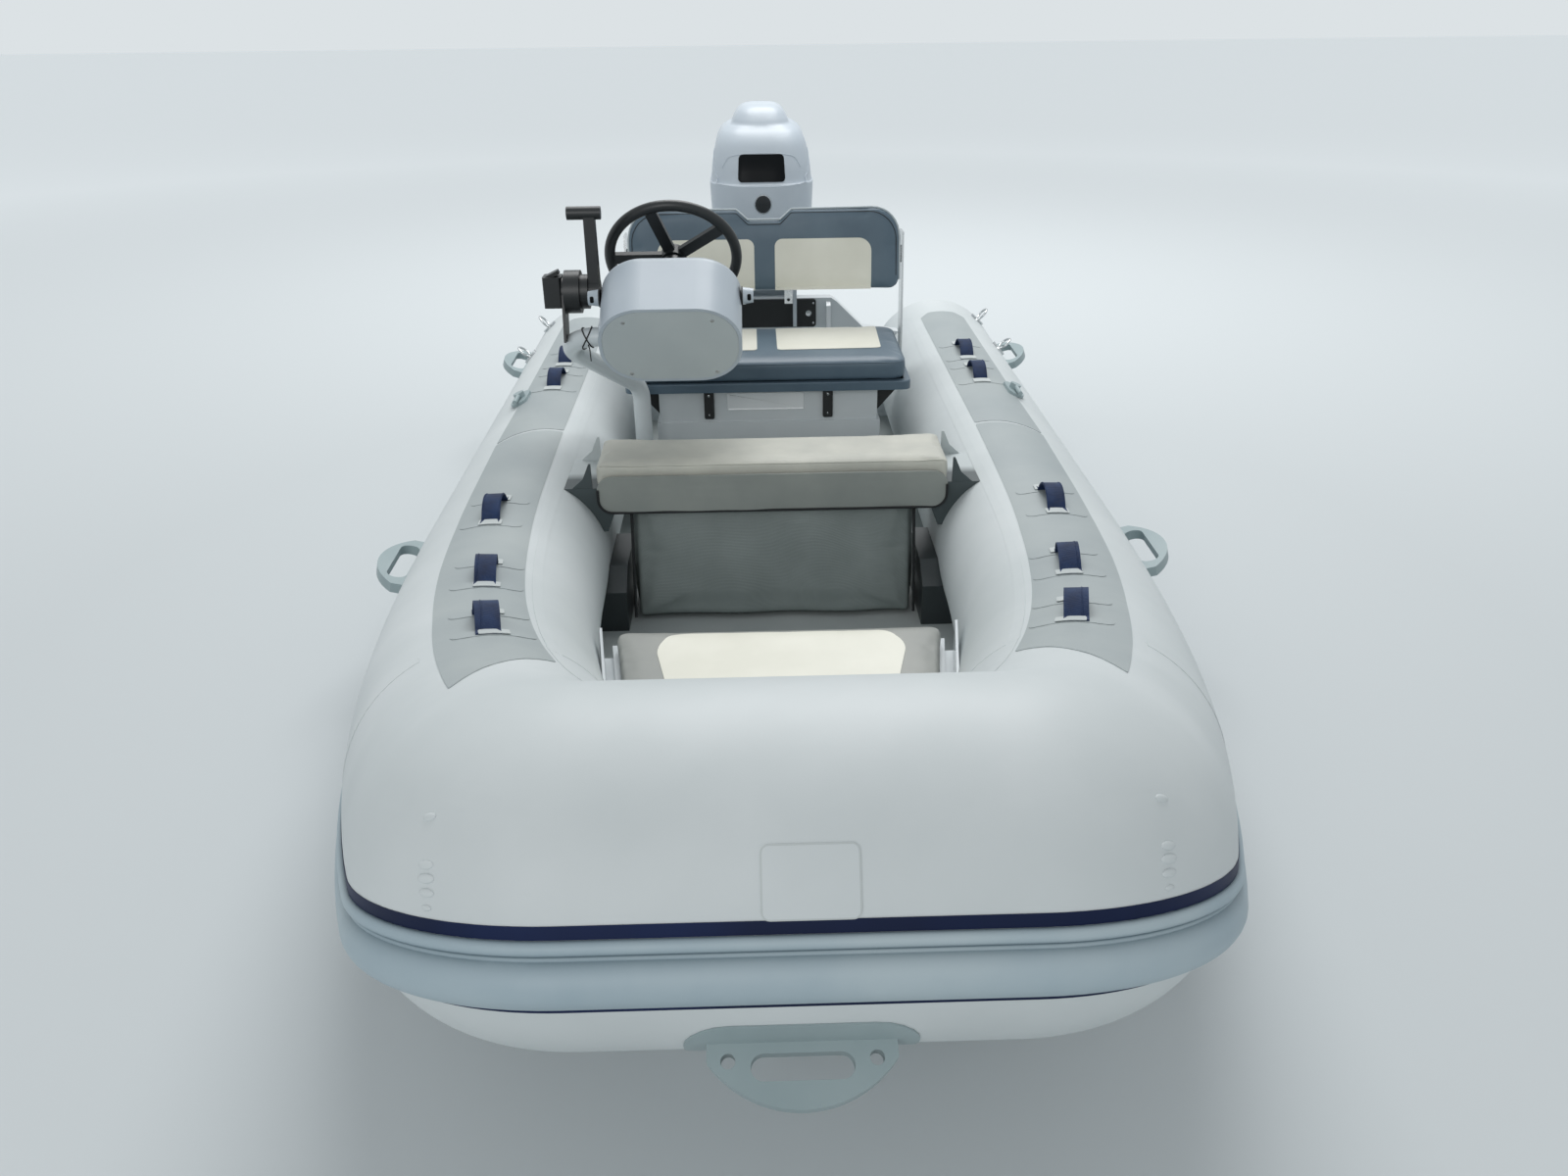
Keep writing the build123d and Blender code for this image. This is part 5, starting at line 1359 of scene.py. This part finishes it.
rings, steps = [], 4
for number in range((len(cowl_rows) - 1) * steps + 1):
    height, width, length, middle, corner = smooth_row(cowl_rows, number / steps)
    rings.append([(x, cowl_y + middle * MM + y, pan_top + height * MM)
                  for x, y in round_frame(width * MM, length * MM, corner * MM, 10)])
skin, loops = bridged_rings(rings)
bmesh.ops.edgeloop_fill(skin, edges=loops[-1])
bmesh.ops.recalc_face_normals(skin, faces=skin.faces)
bmesh.ops.solidify(skin, geom=skin.faces[:], thickness=3 * MM)
cowl = new_piece("cowl_skin", skin, "engine_lacquer_white", "engine", sharp=70)
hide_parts("cowl")

# %% [markdown]
# ## Details of the hood
#
# A smoked window sits on the front of the hood, with a bare round badge below it. One body
# line sweeps round under the window and a finer one over it, and a rubber seal closes the
# gap over the pan. They are laid on the skin, so that they follow its curves.

# %% Engine details
low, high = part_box("cowl")
front_view = on_front((0, low.y - 50 * MM, 0))
outline = [(x * MM, z * MM) for x, z in ((-77, 822), (77, 822), (73, 904), (-73, 904))]
window = laid_on(cowl, outline, front_view, thickness=2 * MM, corner=13 * MM, step=14 * MM)
new_piece("cowl_window", window, "acrylic_smoked_black", "engine")
badge_x, badge_z = 3 * MM, 756 * MM
for name, radius, thickness, finish in (
        ("cowl_badge_rim", 28 * MM, 2.5 * MM, "stainless_steel_polished"),
        ("cowl_badge", 25 * MM, 3.5 * MM, "propeller_paint_black")):
    disc = [(badge_x + radius * cos(a), badge_z + radius * 1.08 * sin(a))
            for a in (radians(12 * step) for step in range(30))]
    badge = laid_on(cowl, disc, front_view, thickness, 0, step=14 * MM)
    new_piece(name, badge, finish, "engine")

# Columns: x, y and z in mm, of points near the port half of each line, from the middle out
under_window = [(0, 1380, 810), (60, 1385, 811), (120, 1400, 816), (158, 1450, 834), (167, 1500, 868),
                (168, 1540, 915)]
over_window = [(0, 1400, 927), (60, 1400, 926), (112, 1410, 921), (132, 1430, 900), (140, 1440, 868)]
for name, half, radius in (("cowl_body_line", under_window, 1.6), ("cowl_panel_line", over_window, 1.2)):
    rows = [(-x, y, z) for x, y, z in reversed(half[1:])] + half
    line = [Vector(smooth_row(rows, step / 8)) * MM for step in range(8 * len(rows) - 7)]
    line_on(name, cowl, line, radius * MM, "engine_lacquer_white", "engine")
seal_w, seal_l, seal_corner = 330 * MM, 514 * MM, 118 * MM
seal = [(x, cowl_y + y, low.z) for x, y in round_frame(seal_w, seal_l, seal_corner, 10)]
piping("cowl_seal", seal, 3 * MM, "rubber_black", "engine", closed=True)
